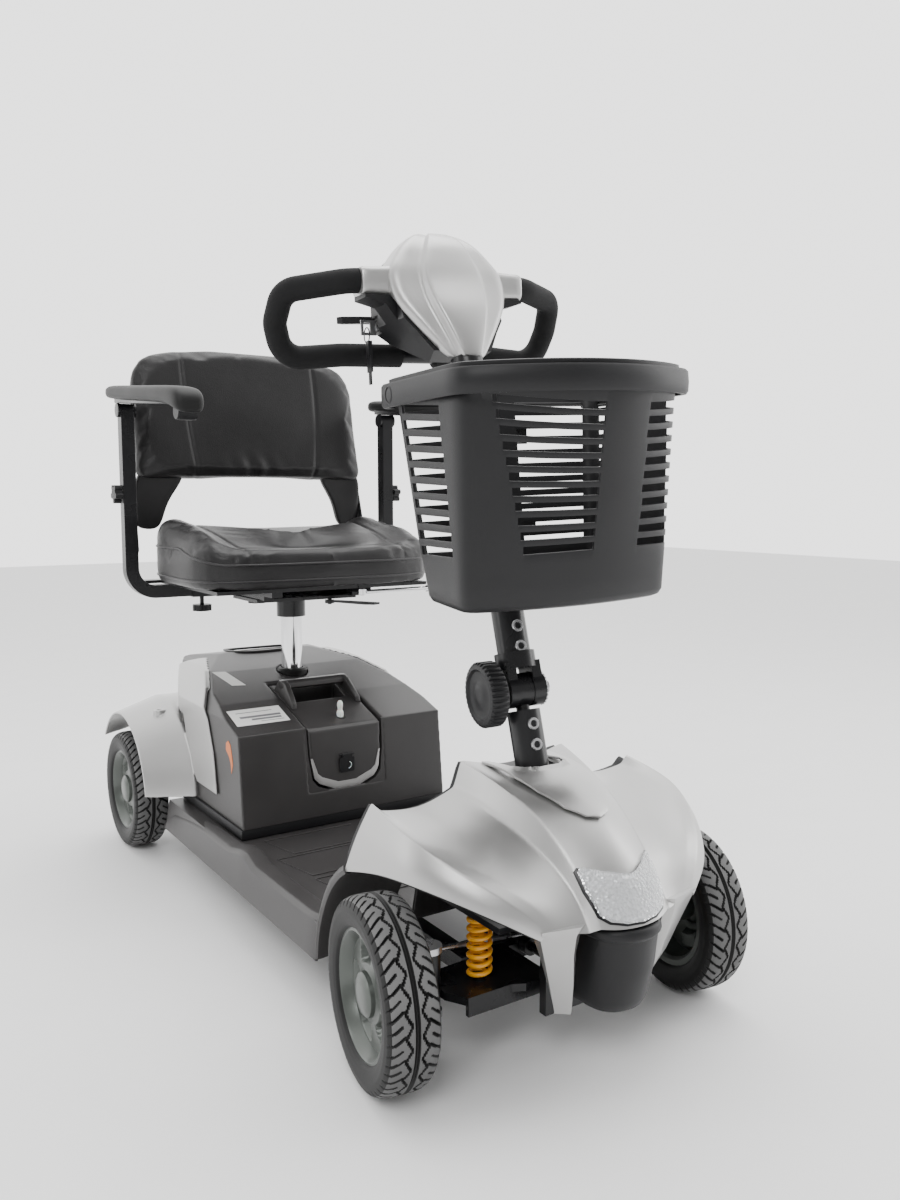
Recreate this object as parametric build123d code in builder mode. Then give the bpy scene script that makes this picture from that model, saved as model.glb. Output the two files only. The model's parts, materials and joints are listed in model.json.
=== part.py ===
from build123d import *

import os
from math import cos, radians, sin

# A four-wheel travel mobility scooter. Millimetres, +Z up, the front is -Y, the rider's left is +X.
# The origin is on the ground, under the middle of the machine.

# ---- driving dimensions ----
overall_length = 1310
wheelbase = 1006
track = 480
nose_overhang = 187          # from the nose back to the front axle
wheel_radius = 114
tyre_half_width = 33
rim_radius = 77
fit = 0.05                   # radial clearance of a running fit
touch = 0.4                  # gap between neighbouring mouldings

front_axle_y = -overall_length / 2 + nose_overhang
rear_axle_y = front_axle_y + wheelbase
wheel_x = track / 2
nose_y = -overall_length / 2
tail_y = overall_length / 2

rake = 16                    # lean of the steering axis, degrees
rest_steer = -8.5            # the front wheels and tiller rest turned a little to the rider's right
crown = Vector(0, -434, 363)  # where the steering axis leaves the cowl
steer_dir = Vector(0, sin(radians(rake)), cos(radians(rake)))
tilt_height = 442            # of the tiller's folding hinge
throttle_y = -106            # pin of the thumb lever
stem_radius = 22
column_radius = 18

kingpin_x = 178
kingpin_radius = 7
link_radius = 40             # of the drop arm and of both steering arms
arm_pin_height = 100         # of the suspension's lengthwise pin
arm_pin_radius = 6
spring_x = 110
spring_y = -477
spring_plate_z = 188

deck_z = 128
skirt_z = 74
deck_half_width = 232
deck_front_y = -262
deck_rear_y = 374

rail_x = 75
rail_z = 68
rail_size = 24
axle_tube_radius = 20
half_shaft_radius = 8
freewheel_y = 566            # pivot of the lever on the gearbox
freewheel_z = 124

body_half_width = 196
body_front_y = 78
body_low_z = 146              # bottom edge of the rear body
shell = 3.5                  # thickness of the body mouldings
well_half_width = 74         # battery well
well_rear_y = 268
well_floor = 189.5
flap_y = 86.6                # hinge of the flap over the charging socket
flap_z = 246
post_y = 311                 # seat post centre
post_radius = 20
post_top = 498

basket_floor = 572
basket_rim = 846
basket_pivot_y = -392
basket_pivot_z = 826

pan_z = 530                  # underside of the seat pan
cushion_z = 536.5
back_pivot_y = 480
back_pivot_z = 600
arm_tube = 24                # square armrest tube
arm_tube_z = 516
upright_x = 265
right_arm_y = 439
left_arm_y = 409
pad_pivot_z = 852


# ---- helpers ----
def on_axis(height):
    """The point of the steering axis at a height."""
    return crown + steer_dir * ((height - crown.Z) / steer_dir.Z)


def tiller_plane(height):
    """A plane square to the steering axis, with its origin on the axis."""
    return Plane(origin=on_axis(height), x_dir=(1, 0, 0), z_dir=steer_dir)


def add_rod(start, end, radius, mode=Mode.ADD):
    """A round bar between two points."""
    start = Vector(*start)
    end = Vector(*end)
    with BuildSketch(Plane(origin=start, z_dir=end - start)) as disc:
        Circle(radius)
    extrude(disc.sketch, amount=(end - start).length, mode=mode)


def add_block(low, high, mode=Mode.ADD):
    """A box between its lowest and highest corners."""
    centre = [(a + b) / 2 for a, b in zip(low, high)]
    size = [b - a for a, b in zip(low, high)]
    with Locations(Location(centre)):
        Box(*size, mode=mode)


def add_side_profile(points, low_x, high_x, mode=Mode.ADD):
    """An outline of (y, z) points drawn out between two x."""
    with BuildSketch(Plane.YZ.offset(low_x)) as outline:
        with BuildLine():
            Polyline(*points, close=True)
        make_face()
    extrude(outline.sketch, amount=high_x - low_x, mode=mode)


def add_plan_profile(points, low_z, high_z, mode=Mode.ADD):
    """An outline of (x, y) points drawn up between two z."""
    with BuildSketch(Plane.XY.offset(low_z)) as outline:
        with BuildLine():
            Polyline(*points, close=True)
        make_face()
    extrude(outline.sketch, amount=high_z - low_z, mode=mode)


def both_sides(points):
    """An outline closed by its mirror image across x = 0."""
    return list(points) + [(-x, y) for x, y in reversed(points) if x > 0]


def steered(part):
    """A tiller part turned from straight ahead to its resting angle."""
    return part.rotate(Axis(crown, steer_dir), rest_steer)


def turned_on_kingpin(part, side):
    """A knuckle or wheel part turned on its kingpin to the resting angle."""
    return part.rotate(Axis((side * kingpin_x, front_axle_y, 0), (0, 0, 1)), rest_steer)


# ---- frame ----
def make_main_frame():
    """Welded steel: two rails, cross tubes, seat tower, front box, spring plate and steering head."""
    column_top = on_axis(330)
    column_low = on_axis(170)
    axle_seat_z = wheel_radius - axle_tube_radius - 0.1
    wall = 2.5
    with BuildPart() as frame:
        for side in (-1, 1):
            low_x = side * rail_x - rail_size / 2
            add_block((low_x, -400, rail_z), (low_x + rail_size, 600, rail_z + rail_size))
            for foot_y, foot_top in ((-200, deck_z - 3.1), (90, deck_z - 3.1), (rear_axle_y, axle_seat_z)):
                add_block(
                    (low_x, foot_y - 12, rail_z + rail_size), (low_x + rail_size, foot_y + 12, foot_top)
                )
        for cross_y in (-200, 90, post_y, 470, 588):
            add_block((-rail_x, cross_y - 12, rail_z), (rail_x, cross_y + 12, rail_z + rail_size))
        for side in (-1, 1):
            low_x = side * rail_x - rail_size / 2 + wall
            high_x = low_x + rail_size - 2 * wall
            add_block((low_x, -401, rail_z + wall), (high_x, 601, rail_z + rail_size - wall), Mode.SUBTRACT)
        add_rod((0, post_y, rail_z), (0, post_y, 352), post_radius + 6)
        add_rod((0, post_y, rail_z + 10), (0, post_y, 360), post_radius + fit, Mode.SUBTRACT)
        add_block((-87, -404, rail_z), (87, -362, rail_z + rail_size))
        add_block((-46, -404, rail_z), (46, -362, spring_plate_z))
        add_block((-40, -398, rail_z - 1), (40, -368, spring_plate_z - 4), Mode.SUBTRACT)
        add_block((-60, -546, rail_z), (60, -534, spring_plate_z))
        add_block((-130, -546, spring_plate_z), (130, -362, spring_plate_z + 8))
        for side in (-1, 1):
            seat_x = side * spring_x
            add_rod((seat_x, spring_y, spring_plate_z - 3), (seat_x, spring_y, spring_plate_z), 9)
        add_rod((0, -546, arm_pin_height), (0, -390, arm_pin_height), arm_pin_radius)
        add_rod(column_low, column_top, column_radius + 9)
        add_rod(on_axis(100), on_axis(400), column_radius + 4, Mode.SUBTRACT)
    return frame.part


def make_head_bearings():
    """Two plain bushes that carry the steering column in its head."""
    with BuildPart() as bushes:
        for low, high in ((172, 192), (306, 328)):
            add_rod(on_axis(low), on_axis(high), column_radius + 3.98)
            add_rod(on_axis(low - 2), on_axis(high + 2), column_radius + fit, Mode.SUBTRACT)
    return bushes.part


def grouped(*pieces):
    """Separate pieces that share one node."""
    solids = [solid for piece in pieces for solid in piece.solids()]
    return Compound(children=solids)


# ---- floor and body mouldings ----
def make_floor_pan():
    """Deck with side skirts, the toe panel at its front and the arches behind the front wheels."""
    wall = 3
    section = both_sides([(0, deck_z), (deck_half_width - 6, deck_z), (deck_half_width + 3, skirt_z)])
    inner_top = deck_z - wall
    hollow = both_sides(
        [(0, inner_top), (deck_half_width - 6 - wall, inner_top), (deck_half_width - wall, skirt_z - 1)]
    )
    arch = [(deck_front_y - 18, 80), (deck_front_y - 31, 150), (-322, 200), (-360, 227)]
    arch_back = [(y + 5, z + 3) for y, z in reversed(arch)]
    toe = [(-332, deck_z), (-372, 292), (-367, 292), (-326, deck_z)]
    with BuildPart() as pan:
        with BuildSketch(Plane.XZ.offset(-deck_rear_y)) as outline:
            with BuildLine():
                Polyline(*section, close=True)
            make_face()
        extrude(outline.sketch, amount=deck_rear_y - deck_front_y)
        with BuildSketch(Plane.XZ.offset(-deck_rear_y - 1)) as void:
            with BuildLine():
                Polyline(*hollow, close=True)
            make_face()
        extrude(void.sketch, amount=deck_rear_y - deck_front_y + 2, mode=Mode.SUBTRACT)
        add_block((-118, -331, deck_z - wall), (118, deck_front_y + 1, deck_z))
        add_side_profile(toe, -118, 118)
        for side in (-1, 1):
            low_x = 118 if side > 0 else -deck_half_width - 3
            add_side_profile(arch + arch_back, low_x, low_x + deck_half_width + 3 - 118)
            add_block((side * 175 - 57, -286, deck_z - wall), (side * 175 + 57, deck_front_y + 1, deck_z))
        add_rod((0, post_y, 60), (0, post_y, 160), post_radius + 8, Mode.SUBTRACT)
    return pan.part


def cowl_stations():
    """Half outlines of the cowl, (x, z) from the middle out to the wheel lip, at each y."""
    return {
        -361: [(0, 330), (58, 342), (82, 350), (140, 298), (212, 317), (235, 227)],
        -392: [(0, 330), (58, 342), (82, 350), (140, 298), (212, 317), (236, 238)],
        -470: [(0, 330), (54, 338), (74, 342), (140, 292), (214, 308), (233, 254)],
        -548: [(0, 312), (46, 303), (64, 305), (128, 272), (188, 280), (202, 248)],
        -596: [(0, 272), (44, 260), (56, 256), (100, 240), (138, 246), (152, 226)],
        -624: [(0, 246), (40, 231), (52, 224), (84, 213), (106, 211), (119, 203)],
    }


def make_front_cowl():
    """Silver cowl: a thin shell over the front wheels with two legs beside the nose."""
    skin = 4
    lamp = lamp_outline(1.2)
    with BuildPart() as cowl:
        sections = []
        for station_y, half in cowl_stations().items():
            lip_x, lip_z = half[-1]
            under = [(x * (1 - 3 / lip_x), z - skin) for x, z in half[:-1]] + [(lip_x - skin, lip_z)]
            outside = [(-x, z) for x, z in reversed(half[1:])] + half
            inside = [(-x, z) for x, z in reversed(under[1:])] + under
            with BuildSketch(Plane.XZ.offset(-station_y)) as outline:
                with BuildLine():
                    Polyline(*outside, *reversed(inside), close=True)
                make_face()
            sections.append(outline.sketch.faces()[0])
        loft(sections, ruled=True)
        for side in (-1, 1):
            leg = []
            for height, inner_x, outer_x, front, depth in (
                (213, 64, 112, -624, 26), (203, 75, 119, -622, 22),
                (150, 62, 98, -610, 16), (92, 52, 74, -590, 9),
            ):
                corners = [(side * inner_x, front), (side * outer_x, front + 8)]
                corners += [(side * outer_x, front + 8 + depth), (side * inner_x, front + depth)]
                with BuildSketch(Plane.XY.offset(height)) as outline:
                    with BuildLine():
                        Polyline(*corners, close=True)
                    make_face()
                leg.append(outline.sketch.faces()[0])
            loft(leg, ruled=True)
        rear_cut = [(-361, 230), (-394, 296), (-396, 370), (-350, 370), (-350, 230)]
        add_side_profile(rear_cut, -240, 240, Mode.SUBTRACT)
        add_rod(on_axis(280), on_axis(420), stem_radius + 9, Mode.SUBTRACT)
        add_block((-stem_radius - 9, -440, 300), (stem_radius + 9, -380, 380), Mode.SUBTRACT)
        with BuildSketch(lamp_plane()) as window:
            with BuildLine():
                Polyline(*lamp, close=True)
            make_face()
        extrude(window.sketch, amount=40, both=True, mode=Mode.SUBTRACT)
    return cowl.part


def make_stem_cover():
    """Raised panel along the middle of the cowl, round the foot of the stem."""
    ridge = {station_y: half[:2] for station_y, half in cowl_stations().items() if -560 < station_y < -380}
    ridge[-590] = [(0, 278), (40, 268)]
    with BuildPart() as cover:
        sections = []
        for station_y, (middle, shoulder) in ridge.items():
            wide, edge_z = shoulder
            low = [(-wide, edge_z + touch), (0, middle[1] + touch), (wide, edge_z + touch)]
            top = [(wide, edge_z + 4), (0, middle[1] + 9), (-wide, edge_z + 4)]
            with BuildSketch(Plane.XZ.offset(-station_y)) as outline:
                with BuildLine():
                    Polyline(*low, *top, close=True)
                make_face()
            sections.append(outline.sketch.faces()[0])
        loft(sections, ruled=True)
        add_rod(on_axis(280), on_axis(420), stem_radius + 7, Mode.SUBTRACT)
        add_block((-stem_radius - 7, -440, 300), (stem_radius + 7, -380, 380), Mode.SUBTRACT)
    return cover.part


def lamp_plane():
    """The sloping plane of the headlamp, its y up the slope."""
    return Plane(origin=(0, -622, 238), x_dir=(1, 0, 0), z_dir=(0, -0.718, 0.696))


def lamp_outline(grow=0):
    """The headlamp's outline, two raised tips and a notch between them, in the lamp's plane."""
    half = [(0, 17 + grow), (53 + grow, 43 + grow), (50 + grow, -24 - grow), (0, -40 - grow)]
    return both_sides(half)


def make_headlight_lens():
    """Clear lens, let into the nose of the cowl."""
    with BuildPart() as lens:
        with BuildSketch(lamp_plane().offset(-6)) as outline:
            with BuildLine():
                Polyline(*lamp_outline(), close=True)
            make_face()
        extrude(outline.sketch, amount=10)
    return lens.part


def make_front_bumper():
    """Black nose block between the cowl's legs, under the lamp."""
    with BuildPart() as bumper:
        levels = []
        for height, half_width, front in ((196, 48, nose_y), (150, 46, nose_y + 3), (98, 34, nose_y + 34)):
            corners = [(0, front), (half_width, front + 14), (half_width - 4, -568), (0, -560)]
            with BuildSketch(Plane.XY.offset(height)) as outline:
                with BuildLine():
                    Polyline(*both_sides(corners), close=True)
                make_face()
            levels.append(outline.sketch.faces()[0])
        loft(levels, ruled=True)
    return bumper.part


def add_body_form(shrink, low_z):
    """The rear body's closed form: a side outline trimmed by a front outline and a tapering plan."""
    side_outline = [
        (body_front_y + shrink, low_z), (94 + shrink, 300 - shrink), (200, 334 - shrink), (330, 368 - shrink),
        (440, 386 - shrink), (520, 376 - shrink), (598 - shrink, 326 - shrink), (643 - shrink, 250),
        (tail_y - 2 - shrink, 200), (tail_y - shrink, low_z),
    ]
    front_outline = both_sides([
        (0, 392 - shrink), (100, 385 - shrink), (152 - shrink, 370 - shrink), (182 - shrink, 346 - shrink),
        (body_half_width - shrink, 318 - shrink), (body_half_width + 1 - shrink, low_z),
    ])
    plan = both_sides([
        (0, body_front_y - 10), (body_half_width + 1 - shrink, body_front_y - 10),
        (body_half_width + 1 - shrink, 370), (190 - shrink, 400), (172 - shrink, 450), (152 - shrink, 500),
        (130 - shrink, 550), (104 - shrink, 600), (76 - shrink, 640 - shrink), (0, tail_y - shrink),
    ])
    add_side_profile(side_outline, -body_half_width - 12, body_half_width + 12)
    with BuildSketch(Plane.XZ.offset(-tail_y - 10)) as front_view:
        with BuildLine():
            Polyline(*front_outline, close=True)
        make_face()
    extrude(front_view.sketch, amount=overall_length, mode=Mode.INTERSECT)
    add_plan_profile(plan, low_z - 1, 420, Mode.INTERSECT)


def make_rear_shroud():
    """Black body over the drive, with a well for the battery pack in the middle of its front."""
    well_wall = well_half_width + shell
    with BuildPart(mode=Mode.PRIVATE) as hollow:
        add_body_form(shell, body_low_z - 4)
        add_block((-well_wall, 60, well_floor - shell), (well_wall, well_rear_y + shell, 420), Mode.SUBTRACT)
    with BuildPart() as shroud:
        add_body_form(0, body_low_z)
        add(hollow.part, mode=Mode.SUBTRACT)
        add_block((-well_half_width, 60, well_floor), (well_half_width, well_rear_y, 420), Mode.SUBTRACT)
        add_rod((0, post_y, 300), (0, post_y, 420), post_radius + 10, Mode.SUBTRACT)
        add_block((-62, 452, 372), (62, 496, 420), Mode.SUBTRACT)
    return shroud.part


def make_rear_side_covers():
    """Silver side blades on the rear body, each with the fender over its rear wheel."""
    blade = [
        (188, 180), (201, 243), (230, 306), (274, 352), (343, 371), (440, 380), (520, 352), (560, 310),
        (500, 296), (420, 300), (356, 292), (340, 247), (322, 212), (287, 180),
    ]
    fender_x = body_half_width + 7
    outer_x = 278
    with BuildPart(mode=Mode.PRIVATE) as body:
        add_body_form(-touch, body_low_z - 6)
    with BuildPart() as covers:
        add_body_form(-5, body_low_z)
        with BuildPart(mode=Mode.PRIVATE) as blades:
            add_side_profile(blade, 110, 210)
            mirror(about=Plane.YZ)
        add(blades.part, mode=Mode.INTERSECT)
        for side in (-1, 1):
            arcs = []
            for arch_x, centre_y, radius in ((150, 472, 182), (fender_x, 472, 182), (outer_x, 500, 151)):
                section = Plane(origin=(side * arch_x, centre_y, 125), x_dir=(0, 1, 0), z_dir=(1, 0, 0))
                with BuildSketch(section) as arc:
                    with BuildLine():
                        outer_arc = CenterArc((0, 0), radius, 34, 138)
                        inner_arc = CenterArc((0, 0), radius - 4, 34, 138)
                        Line(outer_arc @ 0, inner_arc @ 0)
                        Line(outer_arc @ 1, inner_arc @ 1)
                    make_face()
                arcs.append(arc.sketch.faces()[0])
            loft(arcs, ruled=True)
            add_rod((side * 226, 420, 270), (side * 226, 420, 292), 11)
            add_rod((side * 226, 420, 284), (side * 226, 420, 293), 4.5, Mode.SUBTRACT)
        add(body.part, mode=Mode.SUBTRACT)
    return covers.part


# ---- drive ----
def make_transaxle():
    """Gearbox with the tubes that carry the half shafts."""
    with BuildPart() as axle:
        add_rod((-188, rear_axle_y, wheel_radius), (188, rear_axle_y, wheel_radius), axle_tube_radius)
        add_block((-8, rear_axle_y - 62, 96), (56, rear_axle_y + 44, 190))
        add_rod((44, freewheel_y, freewheel_z), (60, freewheel_y, freewheel_z), 5 + fit, Mode.SUBTRACT)
        for side in (-1, 1):
            add_rod(
                (side * 100, rear_axle_y, wheel_radius), (side * 190, rear_axle_y, wheel_radius),
                half_shaft_radius + fit, Mode.SUBTRACT,
            )
    return axle.part


def make_drive_motor():
    """Motor across the machine, with its parking brake on the far end."""
    motor_y = rear_axle_y - 36
    motor_z = 164
    with BuildPart() as motor:
        add_rod((-96, motor_y, motor_z), (-8, motor_y, motor_z), 28)
        add_rod((-116, motor_y, motor_z), (-96, motor_y, motor_z), 23)
    return motor.part


def make_controller():
    """Motor controller with cooling fins, on a bracket behind the seat tower."""
    with BuildPart() as controller:
        add_block((-70, 360, 196), (70, 440, 226))
        for fin in range(9):
            fin_x = -64 + fin * 15
            add_block((fin_x, 362, 226), (fin_x + 5, 438, 238))
        for side in (-1, 1):
            add_block((side * 60 - 8, 400, rail_z + rail_size), (side * 60 + 8, 406, 196))
    return controller.part


def make_freewheel_lever():
    """Lever low at the tail that lets the drive off so that the scooter can be pushed."""
    tip = (92, 632, 102)
    with BuildPart() as lever:
        add_rod((46, freewheel_y, freewheel_z), (72, freewheel_y, freewheel_z), 5)
        add_rod((57, freewheel_y, freewheel_z), (98, freewheel_y, freewheel_z), 9)
        add_rod((92, freewheel_y, freewheel_z), tip, 5)
        add_rod((84, 632, 102), (104, 632, 102), 8)
    return lever.part


# ---- wheels ----
def make_tyre(side, axle_y):
    """Tyre with rounded shoulders and a flat tread."""
    half = [(27, rim_radius), (31, 84), (tyre_half_width, 97), (29, 108), (20, 113), (12, wheel_radius)]
    with BuildPart() as tyre:
        centre = (side * wheel_x, axle_y, wheel_radius)
        with BuildSketch(Plane(origin=centre, x_dir=(1, 0, 0), z_dir=(0, -1, 0))) as outline:
            with BuildLine():
                Polyline(*half, *[(-x, r) for x, r in reversed(half)], close=True)
            make_face()
        revolve(outline.sketch, axis=Axis(centre, (1, 0, 0)))
    return tyre.part


def make_rim(side, axle_y, bore):
    """Cast rim: barrel, five spokes with windows between them, hub, and a round cap on the hub."""
    centre = Vector(side * wheel_x, axle_y, wheel_radius)
    outward = Vector(side, 0, 0)
    with BuildPart() as rim:
        add_rod(centre - outward * 26, centre + outward * 26, rim_radius - 0.1)
        add_rod(centre - outward * 27, centre + outward * 8, rim_radius - 7, Mode.SUBTRACT)
        add_rod(centre + outward * 17, centre + outward * 27, rim_radius - 7, Mode.SUBTRACT)
        add_rod(centre - outward * 16, centre + outward * 22, 20)
        face = Plane(origin=centre + outward * 7, x_dir=(0, 1, 0), z_dir=outward)
        with BuildSketch(face) as windows:
            with PolarLocations(46, 5):
                Trapezoid(34, 30, 76, rotation=-90)
        extrude(windows.sketch, amount=12, mode=Mode.SUBTRACT)
        add_rod(centre - outward * 17, centre + outward * 23, bore, Mode.SUBTRACT)
        add_rod(centre + outward * 23, centre + outward * 28, 25)
        fillet(rim.edges().filter_by(GeomType.CIRCLE).sort_by(Axis.X)[-1 if side > 0 else 0], radius=3)
    return rim.part


def make_half_shaft(side):
    """Steel shaft from the gearbox out to a rear hub, pressed into the hub."""
    with BuildPart() as shaft:
        add_rod(
            (side * 102, rear_axle_y, wheel_radius), (side * (wheel_x + 22), rear_axle_y, wheel_radius),
            half_shaft_radius,
        )
    return shaft.part


# ---- front suspension and steering links ----
def make_suspension_arm(side):
    """Swing arm from the lengthwise pin to the kingpin, with the spring's seat on it."""
    plate = [
        (28, -520), (70, -520), (86, -512), (150, -512), (kingpin_x - 12, front_axle_y - 16),
        (kingpin_x - 12, front_axle_y + 16), (150, -430), (86, -426), (70, -412), (28, -412),
    ]
    eye_fronts = (-504, -442) if side > 0 else (-519, -426)
    with BuildPart() as arm:
        add_plan_profile([(side * x, y) for x, y in plate], 92, 102)
        low_x, high_x = sorted((side * 40, side * 150))
        add_block((low_x, -512, 78), (high_x, -506, 96))
        for eye_y in eye_fronts:
            low_x, high_x = sorted((0, side * 30))
            add_block((low_x, eye_y, 92), (high_x, eye_y + 13, 102))
            add_rod((0, eye_y, arm_pin_height), (0, eye_y + 13, arm_pin_height), 12)
            add_rod(
                (0, eye_y - 1, arm_pin_height), (0, eye_y + 14, arm_pin_height),
                arm_pin_radius + fit, Mode.SUBTRACT,
            )
        add_rod((side * kingpin_x, front_axle_y, 80), (side * kingpin_x, front_axle_y, 150), 14)
        add_rod(
            (side * kingpin_x, front_axle_y, 79), (side * kingpin_x, front_axle_y, 151),
            kingpin_radius + fit, Mode.SUBTRACT,
        )
        add_rod((side * spring_x, spring_y, 102), (side * spring_x, spring_y, 105), 9)
    return arm.part


def make_springs():
    """Two coil springs between the swing arms and the spring plate."""
    wire = 3
    bottom = 102 + wire + 0.3
    height = spring_plate_z - bottom - wire - 0.3
    with BuildPart() as springs:
        for side in (-1, 1):
            seat = (side * spring_x, spring_y, bottom)
            coil = Helix(pitch=height / 7, height=height, radius=13.5, center=seat)
            with BuildSketch(Plane(origin=coil @ 0, z_dir=coil % 0)) as section:
                Circle(wire)
            sweep(section.sketch, path=coil)
    return springs.part


def make_knuckle(side):
    """Forked knuckle with its kingpin, steering arm, ball pin and stub axle."""
    pin_x = side * kingpin_x
    wall_low, wall_high = sorted((pin_x + side * 20, pin_x + side * 28))
    arm_ball = (pin_x, front_axle_y + link_radius)
    with BuildPart() as knuckle:
        for low_z in (70, 151):
            add_rod((pin_x, front_axle_y, low_z), (pin_x, front_axle_y, low_z + 8), 16)
            plate_low, plate_high = sorted((pin_x, pin_x + side * 24))
            add_block((plate_low, front_axle_y - 16, low_z), (plate_high, front_axle_y + 16, low_z + 8))
        add_block((wall_low, front_axle_y - 18, 70), (wall_high, front_axle_y + 18, 159))
        add_rod((pin_x, front_axle_y, 70), (pin_x, front_axle_y, 159), kingpin_radius)
        add_rod(
            (wall_high if side > 0 else wall_low, front_axle_y, wheel_radius),
            (side * (wheel_x + 22), front_axle_y, wheel_radius), 8,
        )
        link = [
            (side * (kingpin_x + 28), front_axle_y + 6), (side * (kingpin_x + 28), front_axle_y + 18),
            (pin_x + side * 7, front_axle_y + link_radius + 7),
            (pin_x - side * 7, front_axle_y + link_radius + 5),
            (pin_x + side * 20, front_axle_y + 6),
        ]
        add_plan_profile(link, 107, 115)
        add_rod((*arm_ball, 107), (*arm_ball, 115), 9)
        add_rod((*arm_ball, 115), (*arm_ball, 138), 5)
    return knuckle.part


def make_tie_rod(side):
    """Tie rod with an eye at each end. The left rod's eyes lie under the right rod's."""
    low_z = 119 if side > 0 else 127
    drop_pin = drop_arm_pin(low_z + 3.5)
    inner = (0, drop_pin.Y, low_z)
    outer = (side * kingpin_x, front_axle_y + link_radius, low_z)
    start = Vector(inner[0], inner[1], low_z + 3.5)
    end = Vector(outer[0], outer[1], low_z + 3.5)
    along = (end - start).normalized()
    with BuildPart() as rod:
        for eye in (inner, outer):
            add_rod(eye, (eye[0], eye[1], low_z + 7), 10.5)
        add_rod(start + along * 9, end - along * 9, 3.4)
        add_rod((inner[0], inner[1], low_z - 1), (inner[0], inner[1], low_z + 8), 6.6, Mode.SUBTRACT)
        add_rod((outer[0], outer[1], low_z - 1), (outer[0], outer[1], low_z + 8), 5 + fit, Mode.SUBTRACT)
    shift = radians(rest_steer)
    return rod.part.translate((-link_radius * sin(shift), link_radius * (cos(shift) - 1), 0))


def drop_arm_pin(height):
    """The middle of the drop arm's pin at a height, with the steering straight."""
    root = on_axis(150)
    foot = root + Vector(0, cos(radians(rake)), -sin(radians(rake))) * link_radius
    return foot + steer_dir * ((height - foot.Z) / steer_dir.Z)


def make_steering_column():
    """Column, lower stem and drop arm, with the tongue of the folding hinge on top."""
    hinge = on_axis(tilt_height)
    foot = drop_arm_pin(144)
    with BuildPart() as column:
        add_rod(on_axis(150), on_axis(334), column_radius)
        add_rod(on_axis(334), on_axis(tilt_height - 26), stem_radius)
        with BuildSketch(tiller_plane(152)) as link:
            with Locations((0, link_radius / 2)):
                SlotCenterToCenter(link_radius, 22, rotation=90)
        extrude(link.sketch, amount=8)
        add_rod(foot, foot - steer_dir * 30, 4)
        with BuildSketch(Plane(origin=hinge - Vector(10, 0, 0), z_dir=(1, 0, 0))) as tongue:
            Circle(22)
        extrude(tongue.sketch, amount=20)
        add_rod(on_axis(tilt_height - 30), hinge, 9)
        add_rod(hinge - Vector(12, 0, 0), hinge + Vector(12, 0, 0), 6 + fit, Mode.SUBTRACT)
    return column.part


def make_tiller_stem():
    """Upper stem with the fork of the folding hinge and the welded basket bracket."""
    hinge = on_axis(tilt_height)
    with BuildPart() as stem:
        add_rod(on_axis(tilt_height + 30), on_axis(884), stem_radius)
        add_rod(on_axis(884), on_axis(958), stem_radius - 9)
        for low_x, high_x in ((-24, -10.5), (10.5, 28)):
            add_rod(hinge + Vector(low_x, 0, 0), hinge + Vector(high_x, 0, 0), 23)
        with BuildSketch(tiller_plane(tilt_height + 2)) as cheeks:
            with Locations((-17.2, 0), (19.2, 0)):
                Rectangle(13.4, 38)
        extrude(cheeks.sketch, amount=34)
        add_rod(on_axis(tilt_height + 27), on_axis(tilt_height + 48), stem_radius + 5)
        add_rod(hinge - Vector(30, 0, 0), hinge + Vector(30, 0, 0), 6 + fit, Mode.SUBTRACT)
        for height in (640, 760):
            add_rod(on_axis(height), on_axis(height + 36), stem_radius + 4)
            arm_start = on_axis(height + 18)
            arm_end = basket_back_y(arm_start.Z) + 3
            add_block((-16, arm_end, arm_start.Z - 8), (16, arm_start.Y, arm_start.Z + 8))
            add_block((-45, arm_end, arm_start.Z - 14), (45, arm_end + 5, arm_start.Z + 14))
    return stem.part


def make_tilt_knob():
    """Ribbed hand knob and the bolt that clamps the folding hinge."""
    hinge = on_axis(tilt_height)
    with BuildPart() as knob:
        add_rod(hinge - Vector(36, 0, 0), hinge + Vector(34, 0, 0), 6)
        with BuildSketch(Plane(origin=hinge - Vector(36, 0, 0), z_dir=(-1, 0, 0))) as wheel:
            Circle(43)
            with PolarLocations(43, 24):
                Circle(2, mode=Mode.SUBTRACT)
        extrude(wheel.sketch, amount=26)
        add_rod(hinge - Vector(30, 0, 0), hinge - Vector(36, 0, 0), 16)
        add_rod(hinge + Vector(28.3, 0, 0), hinge + Vector(34, 0, 0), 11)
    return knob.part


# ---- tiller head ----
def add_head_form(outline, low_skin):
    """The head's delta form between the wings, trimmed to a side outline."""
    front_view = both_sides(
        [(0, 1072 - low_skin), (36, 1064 - low_skin), (58, 1040 - low_skin), (78, 1018 - low_skin),
         (122, 1016 - low_skin), (122, 972 + low_skin), (92, 964 + low_skin), (62, 924), (34 - low_skin, 880),
         (0, 872)]
    )
    add_side_profile(outline, -122, 122)
    with BuildSketch(Plane.XZ.offset(60)) as delta:
        with BuildLine():
            Polyline(*front_view, close=True)
        make_face()
    extrude(delta.sketch, amount=300, mode=Mode.INTERSECT)
    for side in (-1, 1):
        low_x, high_x = sorted((side * 76, side * 130))
        add_block((low_x, -182, 860), (high_x, -60, 1100), Mode.SUBTRACT)
        add_block((low_x, -340, 860), (high_x, -226, 1100), Mode.SUBTRACT)


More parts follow.
